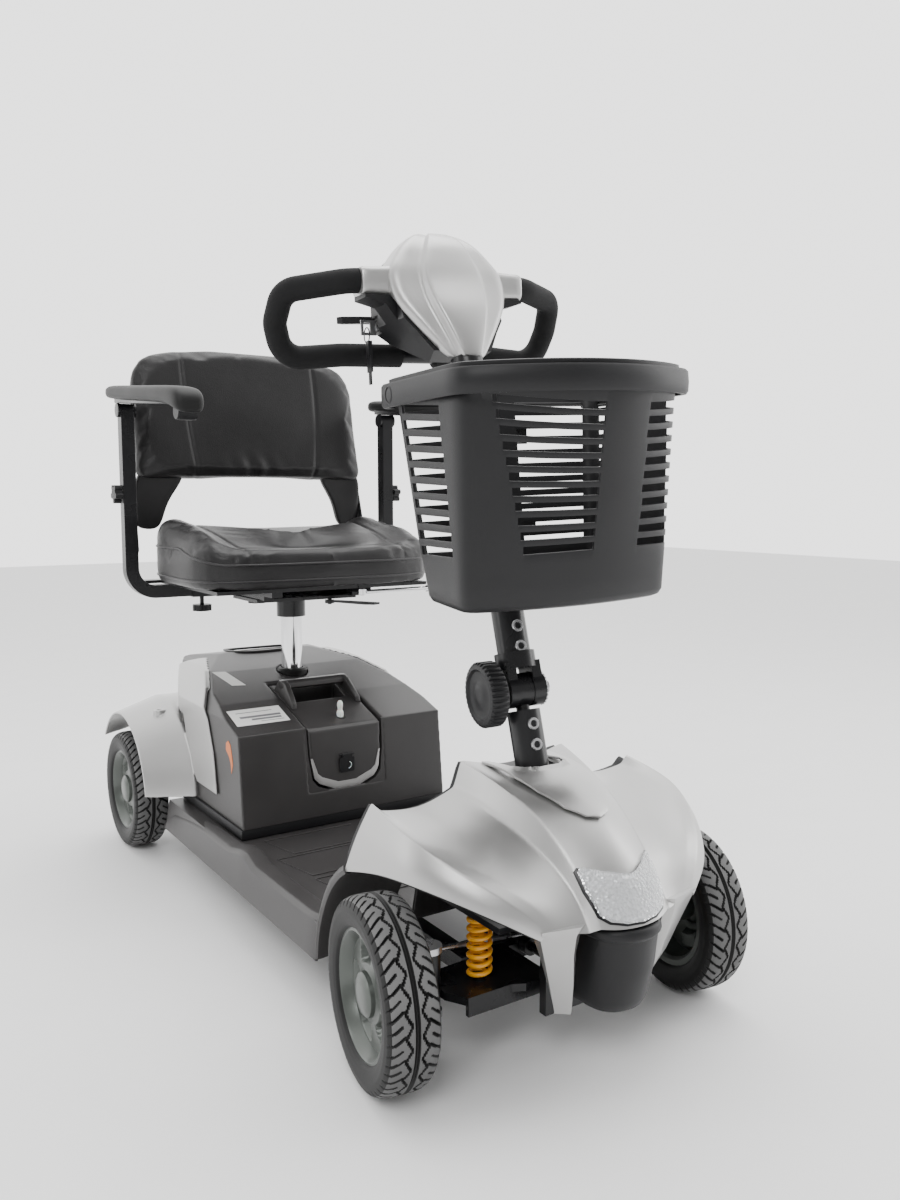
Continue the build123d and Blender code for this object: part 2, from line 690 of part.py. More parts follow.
def make_head_upper():
    """Silver cover over the tiller head, out to both hand grips."""
    outline = [
        (-296, 897), (-289, 930), (-251, 1020), (-230, 1056), (-203, 1070), (-176, 1070),
        (-176, 998), (-196, 986), (-232, 976), (-276, 897),
    ]
    with BuildPart() as cover:
        add_head_form(outline, 0)
        add_rod((-130, -203, 998), (130, -203, 998), 11.5, Mode.SUBTRACT)
        add_block((-60, -232, 940), (60, -170, 1052), Mode.SUBTRACT)
        add_rod(on_axis(880), on_axis(1000), stem_radius - 7, Mode.SUBTRACT)
    return cover.part


def make_head_lower():
    """Black underside and rider's face of the tiller head, sloping for the controls."""
    outline = [
        (-275, 896), (-231.5, 975), (-195.5, 985), (-175.5, 997), (-175.5, 1062), (-124, 1008),
        (-124, 940), (-150, 920), (-240, 884),
    ]
    with BuildPart() as cover:
        add_head_form(outline, 0.4)
        add_rod((-130, -203, 998), (130, -203, 998), 11.5, Mode.SUBTRACT)
        add_rod(on_axis(860), on_axis(1060), stem_radius - 8.5, Mode.SUBTRACT)
        add_rod(on_axis(840), on_axis(884.5), stem_radius + 0.5, Mode.SUBTRACT)
        add_rod((-70, -135, 945), (-34, -135, 945), 5.2, Mode.SUBTRACT)
        add_block((-96, -151, 929), (-70, -119, 961), Mode.SUBTRACT)
        panel = control_plane()
        with BuildSketch(panel.offset(-12)) as holes:
            with Locations((-22, 0)):
                Circle(5.2)
            with Locations((24, 2)):
                Circle(7.3)
        extrude(holes.sketch, amount=20, mode=Mode.SUBTRACT)
        cavity = [(-236, 905), (-222, 966), (-182, 980), (-150, 1000), (-133, 992), (-133, 948), (-156, 931)]
        add_side_profile(cavity, -44, 44, Mode.SUBTRACT)
        for low_z in (946, 972):
            add_block((-9, -125, low_z), (9, throttle_y + 9, low_z + 6))
        add_rod((0, throttle_y, 948), (0, throttle_y, 976), 4)
    return cover.part


def control_plane():
    """The sloping face that carries the rider's controls."""
    return Plane(origin=(0, -149.7, 1035), x_dir=(-1, 0, 0), z_dir=(0, 0.723, 0.690))


def make_speed_dial():
    """Speed knob with a pointer, on its shaft."""
    with BuildPart() as dial:
        with BuildSketch(control_plane().offset(-9)) as shaft:
            with Locations((-22, 0)):
                Circle(5.1)
        extrude(shaft.sketch, amount=11)
        with BuildSketch(control_plane().offset(1)) as cap:
            with Locations((-22, 0)):
                Circle(14)
        extrude(cap.sketch, amount=12)
        with BuildSketch(control_plane().offset(13)) as pointer:
            with Locations((-22, 6)):
                Rectangle(2, 12)
        extrude(pointer.sketch, amount=1)
    return dial.part


def make_horn_button():
    """Round push button for the horn."""
    with BuildPart() as button:
        with BuildSketch(control_plane().offset(-6)) as cap:
            with Locations((24, 2)):
                Circle(7)
        extrude(cap.sketch, amount=11)
    return button.part


def loop_points():
    """Half of the handlebar's closed loop, from the middle of the top bar round to the lower bar."""
    return [
        (0, -203, 998), (135, -203, 998), (216, -148, 990), (222, -120, 950), (208, -102, 902),
        (120, -112, 908), (0, -112, 908),
    ]


def add_loop(radius, bore, first_x, last_x):
    """A tube along the handlebar's loop, trimmed to the stretch outside the given x on each bar."""
    with BuildLine() as half:
        FilletPolyline(*loop_points(), radius=[60, 34, 30, 36, 120])
    with BuildSketch(Plane(origin=(0, -203, 998), z_dir=(1, 0, 0))) as section:
        Circle(radius)
        Circle(bore, mode=Mode.SUBTRACT)
    sweep(section.sketch, path=half.line)
    if first_x:
        add_block((-1, -240, 960), (first_x, -160, 1030), Mode.SUBTRACT)
    if last_x:
        add_block((-1, -140, 880), (last_x, -90, 935), Mode.SUBTRACT)


def make_handlebar():
    """Steel tube in one closed loop round both hands."""
    with BuildPart() as bar:
        add_loop(11, 9, 0, 0)
        mirror(about=Plane.YZ)
    return bar.part


def make_grips():
    """Foam grips round the outside of each loop."""
    with BuildPart() as grip:
        add_loop(17, 11.1, 123, 28)
        mirror(about=Plane.YZ)
    return grip.part


def make_throttle_lever():
    """Two-ended thumb lever that drives forwards or backwards, on a pin behind the head."""
    paddle = both_sides([
        (0, -115), (30, -112), (44, -102), (84, -98), (110, -92), (116, -84), (106, -80), (84, -86),
        (44, -89), (30, -97), (0, -96),
    ])
    with BuildPart() as lever:
        add_plan_profile(paddle, 957, 967)
        add_rod((0, throttle_y, 953), (0, throttle_y, 971), 11)
        add_rod((0, throttle_y, 952), (0, throttle_y, 972), 4 + fit, Mode.SUBTRACT)
    return lever.part


def make_key():
    """Ignition key in its lock at the side of the head."""
    with BuildPart() as key:
        add_rod((-74, -135, 945), (-46, -135, 945), 5)
        add_block((-97, -136.3, 934), (-73, -133.7, 956))
        add_block((-93, -137, 938), (-83, -133, 952), Mode.SUBTRACT)
    return key.part


def make_key_fob():
    """Split ring through the key with a plastic fob and a spare key on it."""
    with BuildPart() as fob:
        with BuildSketch(Plane(origin=(-88, -135 + 11, 934), z_dir=(0, 0, 1))) as wire:
            Circle(0.9)
        revolve(wire.sketch, axis=Axis((-88, -135, 934), (1, 0, 0)))
        add_block((-91, -148, 902), (-85, -137, 925))
        add_block((-89.2, -152, 880), (-86.8, -133, 904))
        add_block((-89, -147, 862), (-87, -138, 881))
    return fob.part


# ---- basket ----
def basket_back_y(height):
    """Outer face of the basket's back wall, by height."""
    return -402 + (height - basket_floor) * 40 / 264


def basket_outline(height, inset):
    """The basket's rounded outline at a height, in by an inset, with its bowed front."""
    grow = (height - basket_floor) / 264
    back = -402 + 40 * grow - inset
    back_x = 122 + 26 * grow - inset
    front_x = 138 + 8 * grow - inset
    front = -538 - 22 * grow + inset
    bow = -562 - 50 * grow + inset
    with BuildSketch(Plane.XY.offset(height)) as outline:
        with BuildLine():
            Line((-back_x, back), (back_x, back))
            Line((back_x, back), (front_x, front))
            ThreePointArc((front_x, front), (0, bow), (-front_x, front))
            Line((-front_x, front), (-back_x, back))
        make_face()
        fillet(outline.vertices().group_by(Axis.Y)[0], radius=48 - inset)
        fillet(outline.vertices().group_by(Axis.Y)[-1], radius=24 - inset)
    return outline.sketch.faces()[0]


def add_basket_form(low, high, inset, mode=Mode.ADD):
    """The basket's tapered closed form between two heights, in by a wall's thickness."""
    loft([basket_outline(height, inset) for height in (low, high)], ruled=True, mode=mode)


def make_basket():
    """Tapered basket with slotted front and sides and a folded rim."""
    with BuildPart() as basket:
        add_basket_form(basket_floor, basket_rim, 0)
        add_basket_form(basket_rim - 8, basket_rim, -4)
        add_basket_form(basket_floor + 4, basket_rim + 1, 3.5, Mode.SUBTRACT)
        for level in range(10):
            slot_z = 632 + level * 14
            add_block((-62, -640, slot_z), (62, -540, slot_z + 8), Mode.SUBTRACT)
            for side in (-1, 1):
                low_x, high_x = sorted((side * 90, side * 170))
                add_block((low_x, -500, slot_z), (high_x, -430, slot_z + 8), Mode.SUBTRACT)
                low_x, high_x = sorted((side * 58, side * 100))
                add_block((low_x, -415, slot_z), (high_x, -340, slot_z + 8), Mode.SUBTRACT)
        for side in (-1, 1):
            pivot = (side * 144, basket_pivot_y, basket_pivot_z)
            add_rod(pivot, (side * 160, basket_pivot_y, basket_pivot_z), 5)
    return basket.part


def make_basket_handle():
    """Carrying handle: a band that lies round the outside of the rim, on two pivots."""
    low_z = 812
    pivot = (basket_pivot_y, basket_pivot_z)
    drop = Vector(0, 0, low_z - basket_rim)
    with BuildPart() as handle:
        extrude(basket_outline(basket_rim, -12).moved(Location(drop)), amount=28)
        extrude(basket_outline(basket_rim, -5.5).moved(Location(drop)), amount=28, mode=Mode.SUBTRACT)
        add_block((-200, basket_pivot_y + 12, low_z - 1), (200, -300, low_z + 30), Mode.SUBTRACT)
        add_rod((-175, *pivot), (175, *pivot), 5 + fit, Mode.SUBTRACT)
    return handle.part


# ---- battery pack ----
def make_battery_pack():
    """Lift-out battery case with a carrying handle over a finger recess."""
    side_outline = [(86.5, 190), (97, 299), (264, 338), (264, 190)]
    with BuildPart() as pack:
        add_side_profile(side_outline, -73, 73)
        chamfer(pack.edges().filter_by(Axis.Y).group_by(Axis.Z)[0], length=14)
        add_side_profile([(92, 194), (101, 290), (260, 294), (260, 194)], -69, 69, Mode.SUBTRACT)
        add_block((-52, 186, 300), (52, 246, 360), Mode.SUBTRACT)
        bar = [(200, 343), (204, 357), (214, 362), (226, 360), (230, 345), (222, 339), (206, 339)]
        add_side_profile(bar, -64, 64)
        foot = [(176, 312), (182, 334), (204, 357), (226, 360), (240, 340), (240, 322)]
        for side in (-1, 1):
            low_x, high_x = sorted((side * 52, side * 66))
            add_side_profile(foot, low_x, high_x)
        add_rod((8, 126, 298), (8, 126, 305), 11)
        add_rod((8, 126, 290), (8, 126, 345), 6.4, Mode.SUBTRACT)
        add_block((-17, 89, 213), (17, 95, 242))
        for side in (-1, 1):
            low_x, high_x = sorted((side * 11, side * 15))
            add_block((low_x, 84.5, 242), (high_x, 95, 249))
        add_rod((-16, flap_y, flap_z), (16, flap_y, flap_z), 1.2 + fit, Mode.SUBTRACT)
    return pack.part


def make_battery_cells():
    """Two sealed batteries inside the case."""
    with BuildPart() as cells:
        for side in (-1, 1):
            low_x, high_x = sorted((side * 1.5, side * 67))
            add_block((low_x, 106, 196), (high_x, 256, 288))
    return cells.part


def make_charger_cover():
    """Square flap over the charging socket, hinged along its top."""
    with BuildPart() as flap:
        add_block((-14, 84.5, 215), (14, 88.6, 241))
        fillet(flap.edges().filter_by(Axis.Y), radius=3)
        add_block((-9, 84.5, 238), (9, 88.6, flap_z))
        add_rod((-9, flap_y, flap_z), (9, flap_y, flap_z), 2)
        add_rod((-14, flap_y, flap_z), (14, flap_y, flap_z), 1.2)
    return flap.part


def make_breaker_button():
    """Booted reset button on top of the pack."""
    with BuildPart() as button:
        add_rod((8, 126, 295), (8, 126, 334), 6)
        fillet(button.edges().filter_by(GeomType.CIRCLE).sort_by(Axis.Z)[-1], radius=4)
    return button.part


# ---- seat ----
def make_seat_post():
    """Chromed post in the seat tower."""
    with BuildPart() as post:
        add_rod((0, post_y, 180), (0, post_y, post_top), post_radius)
        add_rod((0, post_y, 179), (0, post_y, post_top - 20), post_radius - 3, Mode.SUBTRACT)
    return post.part


def make_seat_swivel():
    """Swivel socket on the post, with its top plate and the lower slide rails."""
    with BuildPart() as swivel:
        add_rod((0, post_y, post_top - 30), (0, post_y, post_top + 6), post_radius + 7)
        add_block((-100, post_y - 76, post_top + 6), (100, post_y + 40, post_top + 12))
        add_rod((0, post_y, post_top - 31), (0, post_y, post_top + 0.2), post_radius + fit, Mode.SUBTRACT)
        for side in (-1, 1):
            rail_low = side * 88 - 8
            add_block((rail_low, 212, post_top + 12), (rail_low + 16, 352, post_top + 20))
        add_rod((46, 238, post_top + 6), (46, 238, post_top - 4), 4)
    return swivel.part


def make_seat_frame():
    """Seat pan on the upper slide rails, with the armrest sockets and the backrest's ears."""
    low = pan_z - 11.5
    with BuildPart() as frame:
        add_block((-205, 150, pan_z), (205, 452, pan_z + 6))
        for side in (-1, 1):
            add_block((side * 88 - 10, 172, low), (side * 88 + 10, 392, pan_z))
            ear_low, ear_high = sorted((side * 246, side * 250.5))
            add_block((ear_low, 466, pan_z), (ear_high, 494, back_pivot_z))
            add_rod((ear_low, back_pivot_y, back_pivot_z), (ear_high, back_pivot_y, back_pivot_z), 14)
            add_rod(
                (ear_low - 1, back_pivot_y, back_pivot_z), (ear_high + 1, back_pivot_y, back_pivot_z),
                5 + fit, Mode.SUBTRACT,
            )
            strap_low, strap_high = sorted((side * 150, side * 250.5))
            add_block((strap_low, 452, pan_z), (strap_high, 480, pan_z + 6))
        for side, tube_y in ((-1, right_arm_y), (1, left_arm_y)):
            low_x, high_x = sorted((side * 152, -side * 60))
            add_block((low_x, tube_y - 14, arm_tube_z - 14), (high_x, tube_y + 14, pan_z))
            add_block(
                (low_x - 1, tube_y - arm_tube / 2 - 0.3, arm_tube_z - arm_tube / 2 - 0.3),
                (high_x + 1, tube_y + arm_tube / 2 + 0.3, arm_tube_z + arm_tube / 2 + 0.3),
                Mode.SUBTRACT,
            )
        for knob_x, tube_y in ((-130, right_arm_y), (-28, left_arm_y)):
            add_rod(
                (knob_x, tube_y, arm_tube_z - 20), (knob_x, tube_y, arm_tube_z), 4 + fit, Mode.SUBTRACT
            )
        add_block((60, 148, pan_z), (84, 160, pan_z + 6))
        add_rod((72, 158, pan_z), (72, 158, pan_z - 14), 4)
    return frame.part


def make_seat_cushion():
    """Seat cushion on its pan, wider than deep, with a rounded front."""
    with BuildPart() as cushion:
        with BuildSketch(Plane.XY.offset(cushion_z)) as plan:
            with BuildLine():
                Line((-230, 456), (230, 456))
                Line((230, 456), (234.5, 300))
                Line((234.5, 300), (228, 158))
                ThreePointArc((228, 158), (0, 124), (-228, 158))
                Line((-228, 158), (-234.5, 300))
                Line((-234.5, 300), (-230, 456))
            make_face()
            fillet(plan.vertices().group_by(Axis.Y)[0] + plan.vertices().group_by(Axis.Y)[-1], radius=40)
        extrude(plan.sketch, amount=98)
        fillet(cushion.faces().sort_by(Axis.Z)[-1].edges(), radius=22)
    return cushion.part


def make_backrest_frame():
    """Steel side plates and cross bar that carry the backrest on its fold pins."""
    with BuildPart() as frame:
        for side in (-1, 1):
            low_x, high_x = sorted((side * 240.5, side * 244.5))
            plate = [(466, 592), (470, 588), (492, 590), (496, 640), (540, 800), (522, 806), (474, 650)]
            add_side_profile(plate, low_x, high_x)
            pin_low, pin_high = sorted((side * 240.5, side * 252))
            add_rod((pin_low, back_pivot_y, back_pivot_z), (pin_high, back_pivot_y, back_pivot_z), 5)
            add_rod((low_x, back_pivot_y, back_pivot_z), (high_x, back_pivot_y, back_pivot_z), 12)
        add_rod((-242, 530, 795), (242, 530, 795), 8)
    return frame.part


def make_backrest_cushion():
    """Backrest cushion, leaning back, with skirts down both side plates."""
    lean = [(452, 752), (492, 966), (506, 986), (530, 984), (546, 962), (519, 812), (506, 752)]
    with BuildPart() as cushion:
        add_side_profile(lean, -239, 239)
        fillet(cushion.edges().filter_by(Axis.X).group_by(Axis.Z)[-1], radius=6)
        fillet(cushion.edges().filter_by(Axis.Y, tolerance=40).sort_by(Axis.Z)[-2:], radius=40)
        for side in (-1, 1):
            low_x, high_x = sorted((side * 235.5, side * 239.5))
            add_side_profile([(470, 650), (450, 760), (514, 760), (494, 650)], low_x, high_x)
        add_rod((-242, 530, 795), (242, 530, 795), 8.6, Mode.SUBTRACT)
    return cushion.part


def make_armrest_frame(side, tube_y):
    """Square tube that slides in its socket under the seat and turns up to the armrest's pivot."""
    with BuildPart() as tube:
        with BuildLine() as route:
            FilletPolyline(
                (-side * 52, tube_y, arm_tube_z), (side * upright_x, tube_y, arm_tube_z),
                (side * upright_x, tube_y, pad_pivot_z), radius=[45],
            )
        with BuildSketch(Plane(origin=(-side * 52, tube_y, arm_tube_z), z_dir=(side, 0, 0))) as section:
            Rectangle(arm_tube, arm_tube)
            Rectangle(arm_tube - 4, arm_tube - 4, mode=Mode.SUBTRACT)
        sweep(section.sketch, path=route.line)
        low_x, high_x = sorted((side * (upright_x - 12), side * (upright_x + 12)))
        add_rod((low_x, tube_y, pad_pivot_z), (high_x, tube_y, pad_pivot_z), arm_tube / 2)
        add_rod((low_x, tube_y, pad_pivot_z), (high_x, tube_y, pad_pivot_z), 6 + fit, Mode.SUBTRACT)
        knob_low, knob_high = sorted((side * upright_x, side * (upright_x + 13)))
        add_rod((knob_low, tube_y, 700), (knob_high, tube_y, 700), 4 + fit, Mode.SUBTRACT)
    return tube.part


def make_armrest_pad(side, tube_y):
    """Flip-up armrest: a fork on the upright, a beam and the moulded pad with its front turned down."""
    beam = [(tube_y + 20, 867), (tube_y + 20, 876), (74, 846), (70, 836)]
    pad = [
        (463, 876), (463, 890), (452, 896), (120, 866), (80, 858), (58, 842), (56, 826), (66, 816),
        (96, 822), (120, 842),
    ]
    with BuildPart() as armrest:
        low_x, high_x = sorted((side * (upright_x - 18), side * (upright_x + 34)))
        add_side_profile(pad, low_x, high_x)
        fillet(armrest.edges().filter_by(Axis.X).group_by(Axis.Z)[-1], radius=4)
        beam_low, beam_high = sorted((side * (upright_x - 16), side * (upright_x + 16)))
        add_side_profile(beam, beam_low, beam_high)
        for cheek in (-1, 1):
            cheek_x = side * upright_x + cheek * 14.6
            add_side_profile(
                [(tube_y - 13, 840), (tube_y + 13, 840), (tube_y + 13, 872), (tube_y - 13, 870)],
                cheek_x - 2, cheek_x + 2,
            )
        add_rod(
            (side * upright_x - 16, tube_y, pad_pivot_z), (side * upright_x + 16, tube_y, pad_pivot_z), 6
        )
    return armrest.part


def make_width_knob(knob_x, tube_y, stud):
    """Hand knob and stud that clamp an armrest tube in its socket."""
    top = arm_tube_z - arm_tube / 2 - 0.4
    with BuildPart() as knob:
        add_rod((knob_x, tube_y, top - stud), (knob_x, tube_y, top), 4)
        with BuildSketch(Plane.XY.offset(top - stud - 12)) as grip:
            with Locations((knob_x, tube_y)):
                Circle(18)
                with PolarLocations(19, 7):
                    Circle(3.2, mode=Mode.SUBTRACT)
        extrude(grip.sketch, amount=12)
    return knob.part


def make_height_knob(side, tube_y):
    """Star knob on the outside of an armrest's upright."""
    outer = side * (upright_x + arm_tube / 2)
    direction = Vector(side, 0, 0)
    face = Vector(outer, tube_y, 700)
    with BuildPart() as knob:
        add_rod(face - direction * 9, face + direction * 6, 4)
        with BuildSketch(Plane(origin=face + direction * 1.5, z_dir=direction)) as star:
            Circle(12)
            with PolarLocations(13, 5):
                Circle(5)
        extrude(star.sketch, amount=14)
    return knob.part


def make_slide_lever():
    """Chromed wire loop that frees the seat's slide, with a plastic tip."""
    height = pan_z - 8
    with BuildPart() as lever:
        add_rod((72, 158, height - 5), (72, 158, height + 5), 8)
        add_rod((72, 158, height - 6), (72, 158, height + 6), 4 + fit, Mode.SUBTRACT)
        add_rod((78, 152, height), (212, 140, height), 3)
        add_rod((79, 162, height), (206, 166, height), 3)
        add_rod((212, 140, height), (206, 166, height), 3)
        add_rod((207, 152, height), (234, 156, height), 6)
    return lever.part


def make_swivel_lever():
    """Flat lever that frees the swivel."""
    height = post_top
    with BuildPart() as lever:
        add_plan_profile([(40, 246), (54, 232), (104, 150), (90, 146), (76, 158)], height, height + 4)
        add_rod((46, 238, height - 2), (46, 238, height + 4), 9)
        add_rod((46, 238, height - 3), (46, 238, height + 5), 4 + fit, Mode.SUBTRACT)
    return lever.part


sides = {"left": 1, "right": -1}
tube_lines = {"left": left_arm_y, "right": right_arm_y}

parts = {
    "main_frame": grouped(make_main_frame(), make_head_bearings()),
    "floor_pan": make_floor_pan(),
    "front_cowl": make_front_cowl(),
    "stem_cover": make_stem_cover(),
    "headlight_lens": make_headlight_lens(),
    "front_bumper": make_front_bumper(),
    "rear_shroud": make_rear_shroud(),
    "rear_side_covers": make_rear_side_covers(),
    "transaxle": grouped(make_transaxle(), make_drive_motor()),
    "controller": make_controller(),
    "freewheel_lever": make_freewheel_lever(),
    "suspension_springs": make_springs(),
    "steering_column": steered(make_steering_column()),
    "tiller_stem": steered(make_tiller_stem()),
    "tilt_knob": steered(make_tilt_knob()),
    "head_upper": steered(make_head_upper()),
    "head_lower": steered(make_head_lower()),
    "speed_dial": steered(make_speed_dial()),
    "horn_button": steered(make_horn_button()),
    "handlebar": steered(make_handlebar()),
    "grips": steered(make_grips()),
    "throttle_lever": steered(make_throttle_lever()),
    "key": steered(make_key()),
    "key_fob": steered(make_key_fob()),
    "basket": steered(make_basket()),
    "basket_handle": steered(make_basket_handle()),
    "battery_pack": make_battery_pack(),
    "battery_cells": make_battery_cells(),
    "charger_cover": make_charger_cover(),
    "breaker_button": make_breaker_button(),
    "seat_post": make_seat_post(),
    "seat_swivel": make_seat_swivel(),
    "seat_frame": make_seat_frame(),
    "seat_cushion": make_seat_cushion(),
    "backrest_frame": make_backrest_frame(),
    "backrest_cushion": make_backrest_cushion(),
    "slide_lever": make_slide_lever(),
    "swivel_lever": make_swivel_lever(),
    "width_knob_right": make_width_knob(-130, right_arm_y, 18),
    "width_knob_left": make_width_knob(-28, left_arm_y, 6),
}
for name, side in sides.items():
    parts[f"suspension_arm_{name}"] = make_suspension_arm(side)
    parts[f"knuckle_{name}"] = turned_on_kingpin(make_knuckle(side), side)
    parts[f"tie_rod_{name}"] = make_tie_rod(side)
    parts[f"tyre_front_{name}"] = turned_on_kingpin(make_tyre(side, front_axle_y), side)
    parts[f"rim_front_{name}"] = turned_on_kingpin(make_rim(side, front_axle_y, 8 + fit), side)
    parts[f"tyre_rear_{name}"] = make_tyre(side, rear_axle_y)
    parts[f"rim_rear_{name}"] = grouped(make_rim(side, rear_axle_y, half_shaft_radius), make_half_shaft(side))
    parts[f"armrest_frame_{name}"] = make_armrest_frame(side, tube_lines[name])
    parts[f"armrest_pad_{name}"] = make_armrest_pad(side, tube_lines[name])
    parts[f"height_knob_{name}"] = make_height_knob(side, tube_lines[name])

os.makedirs("parts", exist_ok=True)
for name, part in parts.items():
    part.label = name
    export_step(part, f"parts/{name}.step")
print(len(parts), "parts")
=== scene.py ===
import json
from math import cos, pi, radians, sin

import bmesh
import bpy
import numpy as np
from mathutils import Matrix, Vector
from mathutils.bvhtree import BVHTree


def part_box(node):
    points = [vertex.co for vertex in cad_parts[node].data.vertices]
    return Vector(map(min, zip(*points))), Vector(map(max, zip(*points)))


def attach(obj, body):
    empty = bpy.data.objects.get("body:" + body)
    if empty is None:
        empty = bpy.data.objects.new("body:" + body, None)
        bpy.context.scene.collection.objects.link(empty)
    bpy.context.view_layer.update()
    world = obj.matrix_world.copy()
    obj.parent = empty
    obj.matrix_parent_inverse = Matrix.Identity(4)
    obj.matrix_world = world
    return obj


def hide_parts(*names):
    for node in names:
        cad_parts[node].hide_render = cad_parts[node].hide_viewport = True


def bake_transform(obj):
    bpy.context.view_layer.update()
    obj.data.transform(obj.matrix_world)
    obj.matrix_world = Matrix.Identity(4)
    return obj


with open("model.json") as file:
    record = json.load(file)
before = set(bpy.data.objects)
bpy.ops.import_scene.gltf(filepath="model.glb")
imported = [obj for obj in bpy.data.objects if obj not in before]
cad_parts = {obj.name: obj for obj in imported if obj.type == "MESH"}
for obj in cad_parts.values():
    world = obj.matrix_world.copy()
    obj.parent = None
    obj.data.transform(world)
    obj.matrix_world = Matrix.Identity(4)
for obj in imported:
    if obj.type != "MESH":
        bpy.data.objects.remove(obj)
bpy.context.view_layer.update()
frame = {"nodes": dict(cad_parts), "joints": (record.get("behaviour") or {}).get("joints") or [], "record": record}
scene = bpy.context.scene
nodes = frame["nodes"]


# ---- small tools: lengths in the tools are millimetres ----
def mm(point):
    return Vector(point) / 1000


def joint(name):
    return next(j for j in frame["joints"] if j["name"] == name)


def turn_about(point, axis, degrees):
    shift = Matrix.Translation(Vector(point))
    return shift @ Matrix.Rotation(radians(degrees), 4, Vector(axis)) @ shift.inverted()


STEERING = joint("steering")
REST_TURN = turn_about(STEERING["pos_m"], STEERING["axis"], -8.5)


def activate(obj):
    bpy.ops.object.select_all(action="DESELECT")
    obj.select_set(True)
    bpy.context.view_layer.objects.active = obj


def piece(name, points, faces, material, sharp=32):
    mesh = bpy.data.meshes.new(name)
    mesh.from_pydata([mm(p) for p in points], [], faces)
    mesh.validate()
    obj = bpy.data.objects.new(name, mesh)
    scene.collection.objects.link(obj)
    obj.data.materials.append(material)
    shade(obj, sharp)
    return obj


def shade(obj, sharp=32):
    obj.data.shade_smooth()
    obj.data.set_sharp_from_angle(angle=radians(sharp))


def bake(obj, sharp=32):
    """Replaces the mesh by what its modifiers make of it."""
    bpy.context.view_layer.update()
    depsgraph = bpy.context.evaluated_depsgraph_get()
    made = bpy.data.meshes.new_from_object(obj.evaluated_get(depsgraph))
    material = obj.data.materials[0]
    obj.modifiers.clear()
    obj.data = made
    obj.data.materials.clear()
    obj.data.materials.append(material)
    shade(obj, sharp)
    return obj


def modifier(obj, kind, **settings):
    made = obj.modifiers.new(kind.title(), kind)
    for key, value in settings.items():
        setattr(made, key, value)
    return made


def subdivide(obj, levels=2):
    modifier(obj, "SUBSURF", levels=levels, render_levels=levels)
    return obj


def round_edges(obj, width=1.0, segments=2, angle=32):
    modifier(
        obj, "BEVEL", width=width / 1000, segments=segments, limit_method="ANGLE", angle_limit=radians(angle),
    )
    return obj


def thicken(obj, thickness, offset=-1):
    modifier(obj, "SOLIDIFY", thickness=thickness / 1000, offset=offset)
    return obj


def crease(obj, count, weights):
    """Creases a grid's lines by their distance from its middle column; its rows hold count points."""
    edges = obj.data.attributes.new("crease_edge", "FLOAT", "EDGE")
    corners = obj.data.attributes.new("crease_vert", "FLOAT", "POINT")
    for edge in obj.data.edges:
        first, second = (index % count for index in edge.vertices)
        if first == second:
            edges.data[edge.index].value = weights.get(abs(first - count // 2), 0)
    for index in range(count):
        corners.data[index].value = weights.get(abs(index - count // 2), 0)
    return obj


def grid_faces(rows, columns, wrap_columns=False, wrap_rows=False):
    faces = []
    for row in range(rows if wrap_rows else rows - 1):
        for column in range(columns if wrap_columns else columns - 1):
            after = (column + 1) % columns
            above = (row + 1) % rows
            faces.append((row * columns + column, row * columns + after, above * columns + after, above * columns + column))
    return faces


def face_outwards(obj):
    solid = bmesh.new()
    solid.from_mesh(obj.data)
    bmesh.ops.recalc_face_normals(solid, faces=solid.faces)
    if solid.calc_volume(signed=True) < 0:
        bmesh.ops.reverse_faces(solid, faces=solid.faces)
    solid.to_mesh(obj.data)
    solid.free()


def skin(name, rings, material, closed=True, caps=True, sharp=32):
    """A surface through rings of points; caps fills both end rings, or only the "first"."""
    count = len(rings[0])
    faces = grid_faces(len(rings), count, wrap_columns=closed)
    if caps:
        faces.append(tuple(reversed(range(count))))
    if caps is True:
        faces.append(tuple((len(rings) - 1) * count + i for i in range(count)))
    obj = piece(name, [p for ring in rings for p in ring], faces, material, sharp)
    if closed and caps is True:
        face_outwards(obj)
        shade(obj, sharp)
    return obj


def axes_to(direction):
    turn = Vector((0, 0, 1)).rotation_difference(Vector(direction).normalized()).to_matrix()
    return turn @ Vector((1, 0, 0)), turn @ Vector((0, 1, 0)), turn @ Vector((0, 0, 1))


def lathe(name, profile, origin, direction, material, segments=48, sharp=32, caps=True):
    """A turned shape: (radius, distance along the axis) points round an axis."""
    across, up, along = axes_to(direction)
    start = Vector(origin)
    rings = []
    for radius, distance in profile:
        ring = []
        for step in range(segments):
            angle = 2 * pi * step / segments
            ring.append(start + along * distance + (across * cos(angle) + up * sin(angle)) * radius)
        rings.append(ring)
    return skin(name, rings, material, caps=caps, sharp=sharp)


def block(name, low, high, material, radius=2.0, segments=3):
    """A box with rounded edges."""
    low, high = Vector(low), Vector(high)
    points = [(x, y, z) for x in (low.x, high.x) for y in (low.y, high.y) for z in (low.z, high.z)]
    faces = [(0, 1, 3, 2), (4, 6, 7, 5), (0, 4, 5, 1), (2, 3, 7, 6), (0, 2, 6, 4), (1, 5, 7, 3)]
    obj = piece(name, points, faces, material)
    round_edges(obj, radius, segments)
    return obj


def prism(name, outline, low, high, material):
    """An upright block with an (x, y) outline."""
    return skin(name, [[(x, y, z) for x, y in outline] for z in (low, high)], material)


def squared(step, count, across_power, up_power):
    """A point at a step of count round a rounded square of half-width one."""
    angle = 2 * pi * step / count
    across = np.sign(cos(angle)) * abs(cos(angle)) ** across_power
    up = np.sign(sin(angle)) * abs(sin(angle)) ** up_power
    return float(across), float(up)


